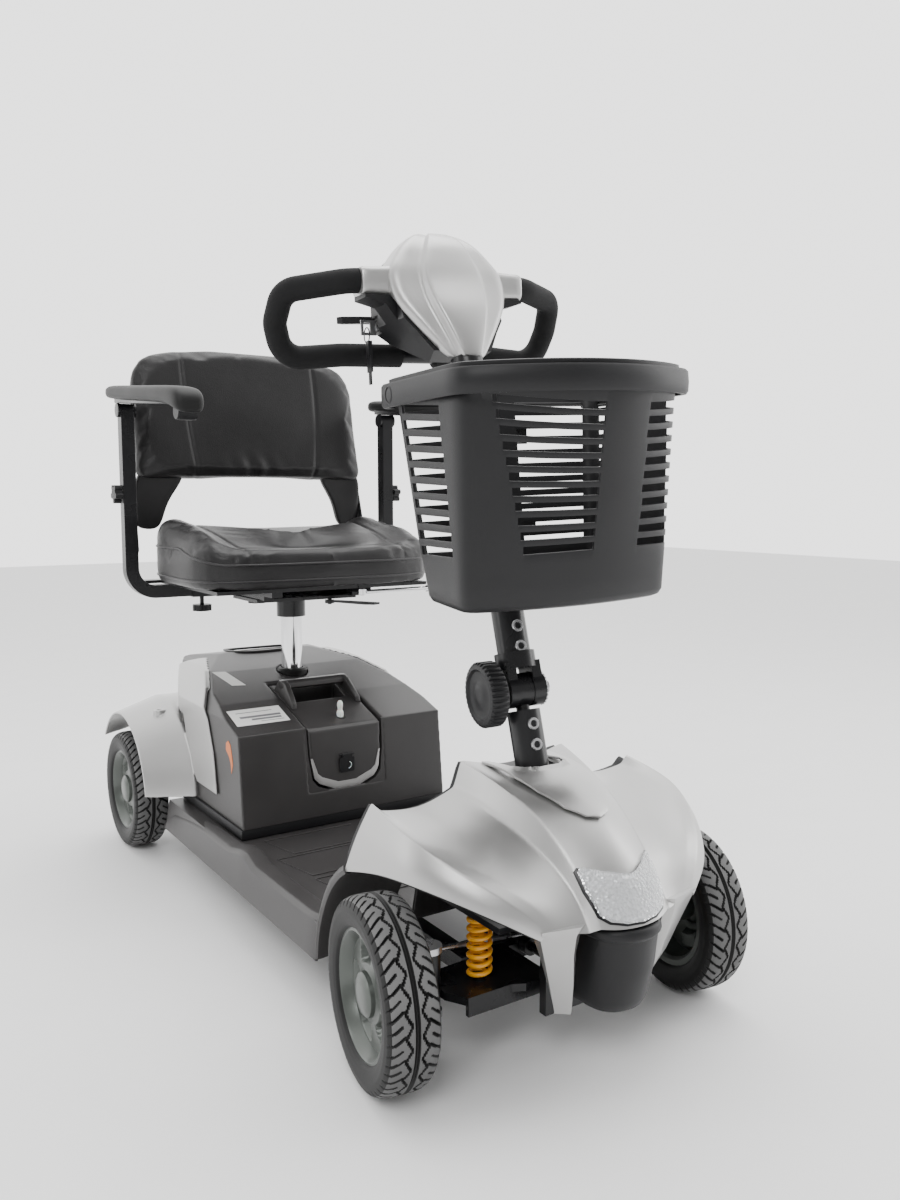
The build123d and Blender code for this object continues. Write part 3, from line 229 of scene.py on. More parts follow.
def notched(name, profile, origin, axes, material, notches, parts=4, sharp=40):
    """A turned shape with notches round it: (radius, distance along the last axis, notch depth) points."""
    across, up, along = (Vector(axis) for axis in axes)
    rings = []
    for radius, distance, depth in profile:
        ring = []
        for step in range(notches * parts):
            angle = 2 * pi * step / (notches * parts)
            reach = radius - depth * (step % parts < 2)
            ring.append(Vector(origin) + along * distance + (across * cos(angle) + up * sin(angle)) * reach)
        rings.append(ring)
    return skin(name, rings, material, sharp=sharp)


def pointed(point, start, direction):
    """The placement that brings the start direction round to another, at a point in metres."""
    return Matrix.Translation(Vector(point)) @ Vector(start).rotation_difference(Vector(direction)).to_matrix().to_4x4()


def wire(name, points, radius, material, closed=False, smooth=True):
    """A round bar or bead along points."""
    curve = bpy.data.curves.new(name, "CURVE")
    curve.dimensions = "3D"
    curve.bevel_depth = radius / 1000
    curve.bevel_resolution = 4
    curve.resolution_u = 6
    spline = curve.splines.new("NURBS" if smooth else "POLY")
    spline.points.add(len(points) - 1)
    for target, point in zip(spline.points, points):
        target.co = (*mm(point), 1)
    spline.use_cyclic_u = closed
    if smooth:
        spline.order_u = 3
        spline.use_endpoint_u = not closed
    curve.use_fill_caps = True
    obj = bpy.data.objects.new(name, curve)
    scene.collection.objects.link(obj)
    obj.data.materials.append(material)
    activate(obj)
    bpy.ops.object.convert(target="MESH")
    shade(obj, 40)
    return obj


def steered(obj):
    """Turns a piece modelled straight ahead to the tiller's resting angle."""
    obj.data.transform(REST_TURN)
    return obj


def on_body(obj, body, stands_for=()):
    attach(obj, body)
    for node in stands_for:
        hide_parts(node)
    return obj


def duplicate(obj, name):
    copy = obj.copy()
    copy.data = obj.data.copy()
    copy.name = name
    scene.collection.objects.link(copy)
    return copy


def cut(obj, tool):
    """Cuts a tool's shape out of a piece and removes the tool."""
    modifier(obj, "BOOLEAN", operation="DIFFERENCE", object=tool, solver="EXACT")
    bake(obj)
    bpy.data.objects.remove(tool)
    return obj


def remade(obj, voxel, rounds):
    """Melts hard facets into one even, softly rounded surface."""
    modifier(obj, "REMESH", mode="VOXEL", voxel_size=voxel / 1000)
    modifier(obj, "SMOOTH", factor=0.5, iterations=rounds)
    return bake(obj, 60)


def surface_of(obj):
    bpy.context.view_layer.update()
    depsgraph = bpy.context.evaluated_depsgraph_get()
    return BVHTree.FromObject(obj, depsgraph)


def laid_on(name, target, outline, origin, across, up, lift, thickness, material, cell=3.0, bulge=0.0):
    """A thin panel with an (across, up) outline, cast against a surface and raised off it."""
    across, up = Vector(across).normalized(), Vector(up).normalized()
    out = across.cross(up)
    tree = surface_of(target)
    flat = bmesh.new()
    flat.faces.new([flat.verts.new((u, w, 0)) for u, w in outline])
    for axis, spread in ((0, [u for u, _ in outline]), (1, [w for _, w in outline])):
        normal = (1, 0, 0) if axis == 0 else (0, 1, 0)
        place = min(spread) + cell
        while place < max(spread):
            parts = flat.verts[:] + flat.edges[:] + flat.faces[:]
            bmesh.ops.bisect_plane(flat, geom=parts, plane_co=tuple(c * place for c in normal), plane_no=normal)
            place += cell
    middle = Vector((sum(u for u, _ in outline), sum(w for _, w in outline), 0)) / len(outline)
    reach = max((Vector((u, w, 0)) - middle).length for u, w in outline)
    for vert in flat.verts:
        start = (Vector(origin) + across * vert.co.x + up * vert.co.y) / 1000
        swell = bulge * max(0, 1 - ((vert.co - middle).length / reach) ** 2)
        hit = tree.ray_cast(start + out * 0.25, -out)[0]
        vert.co = (hit if hit else start) + out * (lift + swell) / 1000
    bmesh.ops.recalc_face_normals(flat, faces=flat.faces)
    mesh = bpy.data.meshes.new(name)
    flat.to_mesh(mesh)
    flat.free()
    obj = bpy.data.objects.new(name, mesh)
    scene.collection.objects.link(obj)
    obj.data.materials.append(material)
    if sum(p.normal.dot(out) for p in mesh.polygons) < 0:
        mesh.flip_normals()
    thicken(obj, thickness, -1)
    shade(obj, 40)
    return obj


# ---- materials ----
def finish_of(name, colour, roughness, metallic=0.0, grain=900, depth=0.08, mottle=0.08, spread=0.06, coat=0.0, sheen=0.5):
    """A surface with fine grain in its bump, and slow changes in colour and gloss."""
    material = bpy.data.materials.new(name)
    material.use_nodes = True
    tree = material.node_tree
    shader = tree.nodes["Principled BSDF"]
    shader.inputs["Metallic"].default_value = metallic
    shader.inputs["Coat Weight"].default_value = coat
    shader.inputs["Specular IOR Level"].default_value = sheen
    shader.inputs["Coat Roughness"].default_value = 0.12
    place = tree.nodes.new("ShaderNodeTexCoord")
    fine = tree.nodes.new("ShaderNodeTexNoise")
    fine.inputs["Scale"].default_value = grain
    fine.inputs["Detail"].default_value = 3
    slow = tree.nodes.new("ShaderNodeTexNoise")
    slow.inputs["Scale"].default_value = 9
    slow.inputs["Detail"].default_value = 5
    for noise in (fine, slow):
        tree.links.new(place.outputs["Object"], noise.inputs["Vector"])
    bump = tree.nodes.new("ShaderNodeBump")
    bump.inputs["Strength"].default_value = depth
    bump.inputs["Distance"].default_value = 0.0006
    tree.links.new(fine.outputs["Fac"], bump.inputs["Height"])
    tree.links.new(bump.outputs["Normal"], shader.inputs["Normal"])
    tint = tree.nodes.new("ShaderNodeValToRGB")
    tint.color_ramp.elements[0].position = 0.3
    tint.color_ramp.elements[1].position = 0.7
    tint.color_ramp.elements[0].color = (*[c * (1 - mottle) for c in colour], 1)
    tint.color_ramp.elements[1].color = (*[min(1, c * (1 + mottle)) for c in colour], 1)
    tree.links.new(slow.outputs["Fac"], tint.inputs["Fac"])
    tree.links.new(tint.outputs["Color"], shader.inputs["Base Color"])
    gloss = tree.nodes.new("ShaderNodeMapRange")
    gloss.inputs["To Min"].default_value = max(0.02, roughness - spread)
    gloss.inputs["To Max"].default_value = min(1, roughness + spread)
    tree.links.new(slow.outputs["Fac"], gloss.inputs["Value"])
    tree.links.new(gloss.outputs["Result"], shader.inputs["Roughness"])
    return material


def with_cells(material, scale, weight, distance=0.0006):
    """Adds a cell pattern to a finish's bump, for flakes, leather grain or prisms."""
    tree = material.node_tree
    place = next(n for n in tree.nodes if n.type == "TEX_COORD")
    bump = next(n for n in tree.nodes if n.type == "BUMP")
    shader = tree.nodes["Principled BSDF"]
    cells = tree.nodes.new("ShaderNodeTexVoronoi")
    cells.inputs["Scale"].default_value = scale
    second = tree.nodes.new("ShaderNodeBump")
    second.inputs["Strength"].default_value = weight
    second.inputs["Distance"].default_value = distance
    tree.links.new(place.outputs["Object"], cells.inputs["Vector"])
    tree.links.new(cells.outputs["Distance"], second.inputs["Height"])
    tree.links.new(bump.outputs["Normal"], second.inputs["Normal"])
    tree.links.new(second.outputs["Normal"], shader.inputs["Normal"])
    return material


silver = with_cells(
    finish_of("silver_lacquer", (0.44, 0.437, 0.432), 0.33, 0.80, 2400, 0.20, 0.03, 0.04, 0.30), 1500, 0.08
)
black = with_cells(finish_of("textured_black", (0.011, 0.011, 0.012), 0.44, 0, 1400, 0.22, 0.14, 0.07, sheen=0.28), 1100, 0.10)
body_black = with_cells(finish_of("body_black", (0.034, 0.032, 0.032), 0.35, 0, 1700, 0.20, 0.12, 0.06, sheen=0.42), 1300, 0.10)
trim_grey = finish_of("trim_grey", (0.36, 0.355, 0.35), 0.36, 0.3, 1700, 0.12, 0.05)
steel_black = finish_of("satin_black_steel", (0.010, 0.010, 0.011), 0.28, 0, 700, 0.08, 0.15, 0.07, sheen=0.35)
vinyl = with_cells(finish_of("black_vinyl", (0.0115, 0.011, 0.0115), 0.38, 0, 420, 0.20, 0.16, 0.08, sheen=0.34), 620, 0.28)
piping = with_cells(finish_of("vinyl_piping", (0.018, 0.017, 0.018), 0.38, 0, 420, 0.2, 0.1, 0.05, sheen=0.4), 800, 0.2)
rubber = finish_of("tyre_rubber", (0.009, 0.009, 0.009), 0.50, 0, 700, 0.30, 0.25, 0.10, sheen=0.25)
# lighter grey for the tread faces: partly rubber wear, partly a painted sheen standing in for light reflected off the
# tread tops
tread_wear_and_sheen = finish_of("tyre_tread_faces", (0.11, 0.11, 0.11), 0.62, 0, 500, 0.35, 0.25, 0.10, sheen=0.3)
foam = with_cells(finish_of("foam_grip", (0.008, 0.008, 0.0085), 0.74, 0, 1200, 0.45, 0.15, 0.08, sheen=0.2), 900, 0.4)
rim_grey = finish_of("rim_lacquer", (0.085, 0.094, 0.086), 0.34, 0.55, 1600, 0.10, 0.08, 0.06, 0.15)
chrome = finish_of("chrome_plate", (0.82, 0.82, 0.83), 0.08, 1.0, 300, 0.01, 0.02, 0.03)
alloy = finish_of("cast_alloy", (0.50, 0.50, 0.51), 0.36, 0.9, 900, 0.14, 0.08, 0.08)
zinc = finish_of("zinc_plate", (0.52, 0.52, 0.53), 0.28, 0.9, 900, 0.08, 0.12, 0.10)
orange = finish_of("spring_orange", (0.90, 0.40, 0.01), 0.30, 0.0, 900, 0.06, 0.06, 0.05, 0.3)
boot_white = finish_of("translucent_boot", (0.80, 0.80, 0.76), 0.28, 0, 900, 0.05, 0.04, 0.04)
boot_white.node_tree.nodes["Principled BSDF"].inputs["Subsurface Weight"].default_value = 0.25
paper = finish_of("label_film", (0.74, 0.74, 0.72), 0.40, 0, 600, 0.03, 0.03, 0.05)
ink = finish_of("label_ink", (0.16, 0.16, 0.17), 0.45, 0, 600, 0.03, 0.10, 0.05)
sticker_orange = finish_of("sticker_orange", (0.60, 0.13, 0.003), 0.36, 0, 600, 0.04, 0.06, 0.05)
battery_grey = finish_of("battery_case", (0.08, 0.08, 0.09), 0.40, 0, 900, 0.10, 0.08)
lens_clear = with_cells(finish_of("prismatic_lens", (0.93, 0.94, 0.95), 0.10, 0, 600, 0.04, 0.02, 0.04), 230, 0.9, 0.0016)
lens_clear.node_tree.nodes["Principled BSDF"].inputs["Transmission Weight"].default_value = 0.72
reflector = with_cells(finish_of("lamp_reflector", (0.84, 0.85, 0.86), 0.16, 0.85, 600, 0.05, 0.03, 0.05), 200, 0.8, 0.002)


# ---- front cowl ----
def half_rows():
    """Rows across half of the cowl, rear edge first: middle, shoulder, ridge, foot, valley, crest, side, lip."""
    return [
        [(0, -398, 340), (46, -398, 347), (84, -397, 356), (95, -396, 322), (145, -393, 300), (200, -392, 308),
         (213, -391, 320), (229, -378, 277), (236, -361, 228)],
        [(0, -440, 342), (44, -440, 344), (78, -440, 347), (92, -440, 318), (142, -440, 296), (196, -440, 304),
         (216, -440, 311), (230, -437, 283), (234, -432, 249)],
        [(0, -490, 343), (42, -490, 339), (70, -490, 332), (85, -490, 304), (136, -490, 287), (192, -490, 297),
         (213, -490, 301), (228, -490, 281), (231, -490, 257)],
        [(0, -540, 333), (38, -540, 325), (62, -540, 309), (76, -540, 284), (124, -540, 274), (172, -540, 280),
         (192, -540, 279), (203, -544, 266), (205, -546, 249)],
        [(0, -583, 306), (34, -583, 293), (57, -583, 276), (68, -583, 258), (102, -583, 252), (140, -583, 257),
         (158, -584, 254), (166, -586, 243), (168, -588, 231)],
        [(0, -618, 268), (32, -616, 257), (54, -612, 243), (62, -609, 231), (84, -606, 230), (112, -604, 233),
         (129, -604, 230), (136, -604, 222), (137, -604, 213)],
        [(0, -651, 207), (30, -646, 207), (52, -634, 209), (64, -627, 205), (78, -622, 206), (100, -617, 209),
         (113, -614, 210), (119, -613, 207), (120, -612, 203)],
    ]


def cowl_skin(name, material, inset, drop, back):
    """The cowl's skin, drawn in by an inset for its inner lining."""
    rows = []
    for half in half_rows():
        moved = [(max(0, x - inset * (x > 0)), y + back, z - drop) for x, y, z in half]
        rows.append([(-x, y, z) for x, y, z in reversed(moved[1:])] + moved)
    count = len(rows[0])
    obj = skin(name, rows, material, closed=False, caps=False, sharp=50)
    crease(obj, count, {2: 0.88, 3: 0.6, 5: 0.5, 6: 0.92})
    return obj


cowl = cowl_skin("cowl_shell", silver, 0, 0, 0)
subdivide(cowl, 3)
cowl.modifiers[-1].boundary_smooth = "PRESERVE_CORNERS"
thicken(cowl, 3.2, 1 if cowl.data.polygons[0].normal.z < 0 else -1)
bake(cowl, 50)
round_stem = ((-1, -368), (-1, -446), (-0.8, -466), (-0.4, -477), (0.4, -477), (0.8, -466), (1, -446), (1, -368))
opening = prism("opening_tool", [(x * 43, y) for x, y in round_stem], 300, 380, black)
cut(cowl, opening)
on_body(cowl, "chassis", ["front_cowl"])

lining = cowl_skin("cowl_lining", black, 4, 5, 13)
subdivide(lining, 2)
thicken(lining, 2.5, 0)
on_body(bake(lining), "chassis")

# the legs beside the nose, each a tapering blade with a sharp front edge
for side, name in ((1, "left"), (-1, "right")):
    rings = []
    for z, inner, outer, front, depth in (
        (214, 60, 121, -626, 34), (203, 66, 120, -622, 28), (178, 67, 110, -616, 22), (135, 61, 93, -606, 17),
        (94, 53, 74, -591, 12), (90, 54, 73, -590, 11),
    ):
        edge = inner + (outer - inner) * 0.22
        rings.append([(side * x, y, z) for x, y in (
            (inner, front + 7), (edge, front), (outer, front + 12), (outer - 1, front + depth), (inner + 2, front + depth),
        )])
    leg = skin(f"cowl_leg_{name}", rings, silver, sharp=50)
    round_edges(leg, 2.2, 3, 20)
    on_body(bake(leg), "chassis")

cover_outline = [
    (-54, -62), (-52, -20), (-53, 10), (-48, 48), (-35, 84), (-17, 104), (0, 110), (17, 104), (35, 84), (48, 48),
    (53, 10), (52, -20), (54, -62),
]
stem_cover = laid_on(
    "stem_cover_panel", cowl, [(x, -y) for x, y in cover_outline], (0, -463, 345), (1, 0, 0), (0, 1, 0), 2.4, 3.2,
    silver, cell=5, bulge=9,
)
round_stem = ((-1, -360), (-1, -446), (-0.8, -464), (-0.4, -474), (0.4, -474), (0.8, -464), (1, -446), (1, -360))
cover_cut = prism("cover_tool", [(x * 40, y) for x, y in round_stem], 290, 390, black)
cut(stem_cover, cover_cut)
round_edges(stem_cover, 0.9, 2, 40)
on_body(bake(stem_cover, 40), "chassis", ["stem_cover"])
rest_axis = Vector(STEERING["axis"])
crown_at = Vector((0, -434, 363))
boot = lathe(
    "stem_boot", [(40, -52), (40, -34), (36, -31), (34, -36), (27, -39), (24, -30), (22.6, -26), (22.6, -52)],
    crown_at, rest_axis, black,
)
on_body(boot, "chassis")

# headlamp: bowl, prismatic lens and its thin bright trim
lamp_origin, lamp_across, lamp_up = (0, -622, 238), Vector((1, 0, 0)), Vector((0, 0.696, 0.718))
lamp_half = [(0, 14), (14, 18), (32, 27), (52, 41), (56, 38), (55, 14), (50, -16), (40, -27), (22, -35), (0, -38)]
lamp_shape = lamp_half + [(-x, y) for x, y in reversed(lamp_half[1:-1])]
for name, grow, lift, thick, material, slot_name, bulge in (
    ("lamp_trim", 1.045, 1.0, 2.2, steel_black, "black_plastic", 0),
    ("lamp_bowl", 0.99, 1.6, 1.2, reflector, "chrome", 0),
    ("lamp_lens", 0.98, 4.2, 1.8, lens_clear, "clear_lens", 3.5),
):
    shape = [(x * grow, 2 + (y - 2) * grow) for x, y in lamp_shape]
    part = laid_on(name, cowl, shape, lamp_origin, lamp_across, lamp_up, lift, thick, material, cell=3, bulge=bulge)
    on_body(bake(part, 40), "chassis", ["headlight_lens"] if name == "lamp_lens" else [])

# nose block under the lamp
rings = []
for z, wide, front in (
    (204, 47, -651), (200, 50, -654), (193, 50, -655), (189, 47, -651), (150, 44.5, -647), (108, 41, -636), (97, 38, -630),
):
    arc = [(wide * sin(a), -566 + (front + 566) * max(0, cos(a)) ** 0.45) for a in np.linspace(-pi / 2, pi / 2, 17)]
    rings.append([(x, y, z) for x, y in arc] + [(wide * 0.8, -560, z), (-wide * 0.8, -560, z)])
nose = skin("nose_block", rings, black, sharp=40)
round_edges(nose, 1.5, 3, 35)
on_body(bake(nose), "chassis", ["front_bumper"])


# ---- rear body ----
def body_height(y):
    return float(np.interp(
        y, (78, 94, 150, 200, 260, 330, 390, 440, 480, 520, 560, 600, 643, 655),
        (240, 298, 318, 334, 350, 368, 380, 386, 385, 377, 356, 326, 250, 150),
    ))


def softened_copy(node, name, material, voxel, rounds):
    """A copy of a CAD part with its hard facets melted into rounded ones, standing for that part."""
    copy = duplicate(nodes[node], name)
    copy.parent = None
    for key in list(copy.keys()):
        del copy[key]
    copy.data.materials.clear()
    copy.data.materials.append(material)
    modifier(copy, "WELD", merge_threshold=0.00002)
    remade(copy, voxel, rounds)
    return on_body(copy, "chassis", [node])


shroud = softened_copy("rear_shroud", "rear_body_shell", body_black, 2.0, 9)
# the moulding round the battery, and the pan of the lifting recess
liner = [(-77, 300), (-77, 180), (77, 180), (77, 300), (73.5, 300), (72.5, 252), (66.5, 209), (56, 196.5), (22, 183),
         (-22, 183), (-56, 196.5), (-66.5, 209), (-72.5, 252), (-73.5, 300)]
rings = [[(x, 79 + 15 * (z - 146) / 154, z) for x, z in liner], [(x, 240, z) for x, z in liner]]
well_liner = skin("well_liner", rings, body_black)
on_body(well_liner, "chassis")
pan = block("recess_pan", (-70, 428, 337), (70, 500, 343), black, 2)
on_body(bake(pan), "chassis")
frame_rim = [(-66, 496), (-72, 446), (-48, 424), (48, 424), (72, 446), (66, 496)]
rim_line = [(x, y, body_height(y) + 1.0) for x, y in frame_rim]
rim = wire("recess_rim", rim_line + rim_line[:1], 2.4, body_black)
on_body(rim, "chassis")
plinth = prism("body_plinth", [(-199, 79), (199, 79), (201, 372), (-201, 372)], 129, 146, black)
round_edges(plinth, 1.5)
on_body(bake(plinth), "chassis")
profile = [(28.6, -6), (29, 8), (26, 12), (21.5, 13), (21, 6), (21, -6)]
collar = lathe("post_collar", profile, (0, 311, 356), (0, 0, 1), rubber)
on_body(collar, "chassis")

# silver blades and fenders, softened from their hard outline
covers = softened_copy("rear_side_covers", "side_blades_and_fenders", silver, 1.6, 8)

# ---- battery pack ----
pack_wide = 70.5
outline = [(-pack_wide, 300), (-69.5, 252), (-63.5, 212), (-54, 200), (-21, 186), (21, 186), (54, 200), (63.5, 212),
           (69.5, 252), (pack_wide, 300)]
rings = []
for y in (88, 90, 98, 130, 170, 210, 245, 260, 262):
    top = body_height(y) - (3 if 90 < y < 262 else 6)
    lean = 9 if y < 98 else 0
    rings.append([(x, y - lean * (300 - z) / 115 + (9 if y < 98 else 0) * 0.6, z) for x, z in outline]
                 + [(pack_wide, y + (5 if y < 98 else 0), top), (-pack_wide, y + (5 if y < 98 else 0), top)])
pack = skin("battery_pack_case", rings, body_black, sharp=40)
tool = prism("pocket_tool", [(-50, 188), (50, 188), (56, 248), (-56, 248)], 300, 400, black)
remade(pack, 2.0, 1)
cut(pack, tool)
remade(pack, 2.0, 5)
on_body(pack, "battery", ["battery_pack"])

bar = [(203, 350), (205, 358), (212, 363), (224, 363), (231, 357), (230, 347), (218, 345)]
bar_piece = skin("pack_handle_bar", [[(x, y, z) for y, z in bar] for x in (-66, -60, 60, 66)], body_black)
subdivide(round_edges(bar_piece, 2.0, 2, 20), 1)
on_body(bake(bar_piece, 60), "battery")
for side, name in ((1, "left"), (-1, "right")):
    foot = [(160, 318), (163, 330), (198, 358), (211, 363), (227, 363), (236, 354), (246, 342), (246, 322)]
    rings = [[(side * (x + (363 - z) * 0.12), y, z) for y, z in foot] for x in (54, 64)]
    post = skin(f"pack_handle_foot_{name}", rings, body_black)
    round_edges(post, 2.5, 3, 20)
    on_body(bake(post, 60), "battery")

trim = [(-68, 246), (-62, 211), (-53, 201), (-21, 187), (21, 187), (53, 201), (62, 211), (68, 246), (64.5, 246), (56, 219),
        (48, 212), (17, 200), (-17, 200), (-48, 212), (-56, 219), (-64.5, 246)]
trim = [(x, z - 220) for x, z in trim]
band = laid_on("pack_trim", pack, trim, (0, 82, 220), (1, 0, 0), (0, 0, 1), 1.6, 2.6, trim_grey, cell=4)
round_edges(band, 0.7, 2, 40)
on_body(bake(band, 40), "battery")
profile = [(12, 0), (12, 3), (10, 4.6), (6.6, 4.8), (6.6, 0)]
seat_of_button = lathe("breaker_ring", profile, (8, 126, 301), (0, -0.22, 1), rubber)
on_body(seat_of_button, "battery")
button = lathe(
    "breaker_boot", [(6, 0), (6.2, 9), (5.4, 12), (4.2, 14), (4.4, 18), (5.2, 22), (4.9, 26), (3.4, 29.5), (1.2, 31)],
    (8, 126, 303), (0, 0, 1), boot_white,
)
on_body(button, "breaker", ["breaker_button"])
arc = [(2 + 6 * cos(a), 83.9, 227 + 6 * sin(a)) for a in np.linspace(-1.5, 1.2, 9)]
emblem = wire("charger_symbol", arc, 0.7, boot_white)
on_body(emblem, "charger_flap")

# labels without lettering: bars on a pale film, and a plain swept shape
film = [(-48, -27), (48, -27), (48, 27), (-48, 27)]
label_at = ((-136, 148, 330), (1, 0, 0), (0, 0.95, 0.29))
sheet_label = laid_on("rating_label", shroud, film, *label_at, 0.5, 0.4, paper, cell=8)
on_body(bake(sheet_label), "chassis")
label_bars = ((14, 15.4, -36, 30), (-4, 2, -34, 40), (-13, -8, -16, 38), (-19, -18, -2, 40))
for index, (low, high, left, right) in enumerate(label_bars):
    bar = [(left, low), (right, low), (right, high), (left, high)]
    bars = laid_on(f"label_bar_{index}", shroud, bar, *label_at, 0.9, 0.3, ink, cell=8)
    on_body(bake(bars), "chassis")
swoosh = [(-14, 18), (-4, 24), (6, 18), (12, 2), (16, -14), (9, -30), (6, -14), (0, -4), (-8, 2), (-15, 6)]
mark = laid_on("side_sticker", shroud, swoosh, (-196, 134, 262), (0, -1, 0), (0, 0, 1), 0.5, 0.4, sticker_orange, cell=6)
on_body(bake(mark), "chassis")
strip = [(-34, -9), (30, -9), (34, 9), (-30, 9)]
patch = laid_on("shoulder_label", shroud, strip, (-140, 300, 370), (0, -1, 0), (0.75, 0, 0.66), 0.5, 0.4, paper, cell=6)
on_body(bake(patch), "chassis")


# ---- wheels ----
def joined(name, objects):
    activate(objects[0])
    for obj in objects[1:]:
        obj.select_set(True)
    bpy.ops.object.join()
    objects[0].name = name
    return objects[0]


def tread_cut(around, across):
    """Depth of the tread pattern in millimetres, by distance round the tyre and distance from its middle."""
    pitch = 2 * pi * 114 / 26
    side = np.where(across >= 0, 0.0, 0.5)
    turn = (around / pitch + side) % 1
    off = np.abs(across)
    saw = np.abs(turn * 2 - 1)
    zigzag = 6.0 + 7.5 * saw
    depth = 2.0 * (np.abs(off - 1.9) < 0.8)
    depth = np.maximum(depth, 2.6 * ((np.abs(off - zigzag) < 1.0) & (off > 4)))
    slant = (turn + (off - 12) * 0.028 + 0.30) % 1
    depth = np.maximum(depth, 2.8 * ((np.abs(slant - 0.5) < 0.042) & (off > 13.5)))
    second = (turn + (off - 12) * 0.028 + 0.80) % 1
    depth = np.maximum(depth, 2.4 * ((np.abs(second - 0.5) < 0.036) & (off > 18)))
    return depth


def make_tyre():
    half = np.array([
        (26, 77), (29.5, 80), (31.5, 86), (33, 96), (32, 103), (29.5, 108), (26, 110.8), (21, 112.8), (15, 113.7), (0, 114),
    ], float)
    walk = np.concatenate([[0], np.cumsum(np.hypot(*np.diff(half, axis=0).T))])
    places = np.linspace(0, walk[-1], 40)
    half = np.stack([np.interp(places, walk, half[:, 0]), np.interp(places, walk, half[:, 1])], axis=1)
    section = np.concatenate([half, half[-2::-1] * (-1, 1)])
    segments = 560
    angle = np.arange(segments) * 2 * pi / segments
    across = np.tile(section[:, 0], (segments, 1))
    radius = np.tile(section[:, 1], (segments, 1))
    cuts = tread_cut(angle[:, None] * 114, across) * np.clip((radius - 101) / 6, 0, 1)
    radius = radius - cuts
    points = np.stack([across, radius * np.cos(angle)[:, None], radius * np.sin(angle)[:, None]], axis=2)
    faces = grid_faces(segments, len(section), wrap_rows=True)
    tyre = piece("tyre_form", [tuple(p) for p in points.reshape(-1, 3)], faces, rubber, 40)
    tyre.data.materials.append(tread_wear_and_sheen)
    # the tread's top faces take the lighter grey, part wear and part painted sheen
    flat = (cuts.reshape(-1) < 0.3) & (radius.reshape(-1) > 108)
    for polygon in tyre.data.polygons:
        if all(flat[i] for i in polygon.vertices):
            polygon.material_index = 1
    return tyre


def make_rim(shaft):
    """A dished face with five pockets, the round cap on its hub, and the barrel behind it."""
    radii = [1, 12, 22, 26, 27, 30, 33] + list(np.linspace(35, 63, 15)) + [66, 68, 70, 72, 74, 76.8]
    heights = dict(zip(
        (1, 12, 22, 26, 27, 30, 33, 66, 68, 70, 72, 74, 76.8), (27, 26.6, 25, 22, 17, 15.5, 15, 12, 13, 20, 24, 26, 26)
    ))
    rings = []
    for r in radii:
        ring = []
        base = heights.get(r, 15 - 3 * (r - 33) / 33)
        for step in range(160):
            angle = 2 * pi * step / 160
            wave = (angle * 5 / (2 * pi)) % 1
            edge = 0.30 - 0.07 * (r - 48) / 14
            inside = np.clip((edge - abs(wave - 0.5)) / 0.05, 0, 1) * np.clip((62 - r) / 4, 0, 1) * np.clip((r - 36) / 4, 0, 1)
            ring.append((base - 9 * inside, r * cos(angle), r * sin(angle)))
        rings.append(ring)
    face = skin("rim_form", rings, rim_grey, caps="first", sharp=50)
    barrel = lathe(
        "rim_barrel", [(66, 12), (66, -22), (70, -26), (77.2, -26.5), (77.2, 26), (74, 27), (72, 25), (66, 12)],
        (0, 0, 0), (1, 0, 0), rim_grey, caps=False,
    )
    hub = lathe("rim_hub", [(18, 12), (20, 8), (20, -15), (14, -16)], (0, 0, 0), (1, 0, 0), rim_grey)
    parts = [face, barrel, hub]
    if shaft:
        parts.append(lathe("rim_shaft", [(8, 14), (8, -138)], (0, 0, 0), (1, 0, 0), zinc, 24))
    rim = joined("rim_form", parts)
    shade(rim, 40)
    return rim


tyre_form = make_tyre()
rim_forms = {"front": make_rim(False), "rear": make_rim(True)}
for end in ("front", "rear"):
    for side, name in ((1, "left"), (-1, "right")):
        axle = joint(f"{end}_wheel_{name}")
        outward = Vector(axle["axis"]) * side
        place = pointed(axle["pos_m"], (1, 0, 0), outward)
        for form, kind, slot_name in ((tyre_form, "tyre", "tyre"), (rim_forms[end], "rim", "rim_paint")):
            wheel_piece = form.copy()
            wheel_piece.name = f"{kind}_{end}_{name}_form"
            scene.collection.objects.link(wheel_piece)
            wheel_piece.matrix_world = place
            on_body(wheel_piece, f"{end}_wheel_{name}", [f"{kind}_{end}_{name}"])
for form in (tyre_form, *rim_forms.values()):
    bpy.data.objects.remove(form)


# ---- basket, modelled straight ahead and then turned with the tiller ----
def basket_loop(z, inset, count=320):
    """The basket's outline at a height: distances from the front's middle, and points."""
    grow = (z - 572) / 264
    back, back_x = -402 + 40 * grow - inset, 122 + 26 * grow - inset
    front_x, front, bow = 138 + 8 * grow - inset, -538 - 22 * grow + inset, -562 - 50 * grow + inset
    path = [(x, bow + (front - bow) * (x / front_x) ** 2) for x in np.linspace(0, front_x, 12)]
    path += [(back_x, back), (-back_x, back)] + [(-x, y) for x, y in reversed(path[1:])] + [path[0]]
    path = np.array(path)
    walk = np.concatenate([[0], np.cumsum(np.hypot(*np.diff(path, axis=0).T))])
    places = np.arange(count) * walk[-1] / count
    loop = np.stack([np.interp(places, walk, path[:, 0]), np.interp(places, walk, path[:, 1])], axis=1)
    for _ in range(46):
        loop = 0.5 * loop + 0.25 * (np.roll(loop, 1, axis=0) + np.roll(loop, -1, axis=0))
    return loop


def sag(place, z):
    """How far the slots curve up away from their lowest point, by place round the basket."""
    lift = 12 * min(1.5, ((place - 40) / 150) ** 2) + 0.10 * max(0, -150 - place)
    return lift * min(1, max(-0.4, (z - 660) / 140))


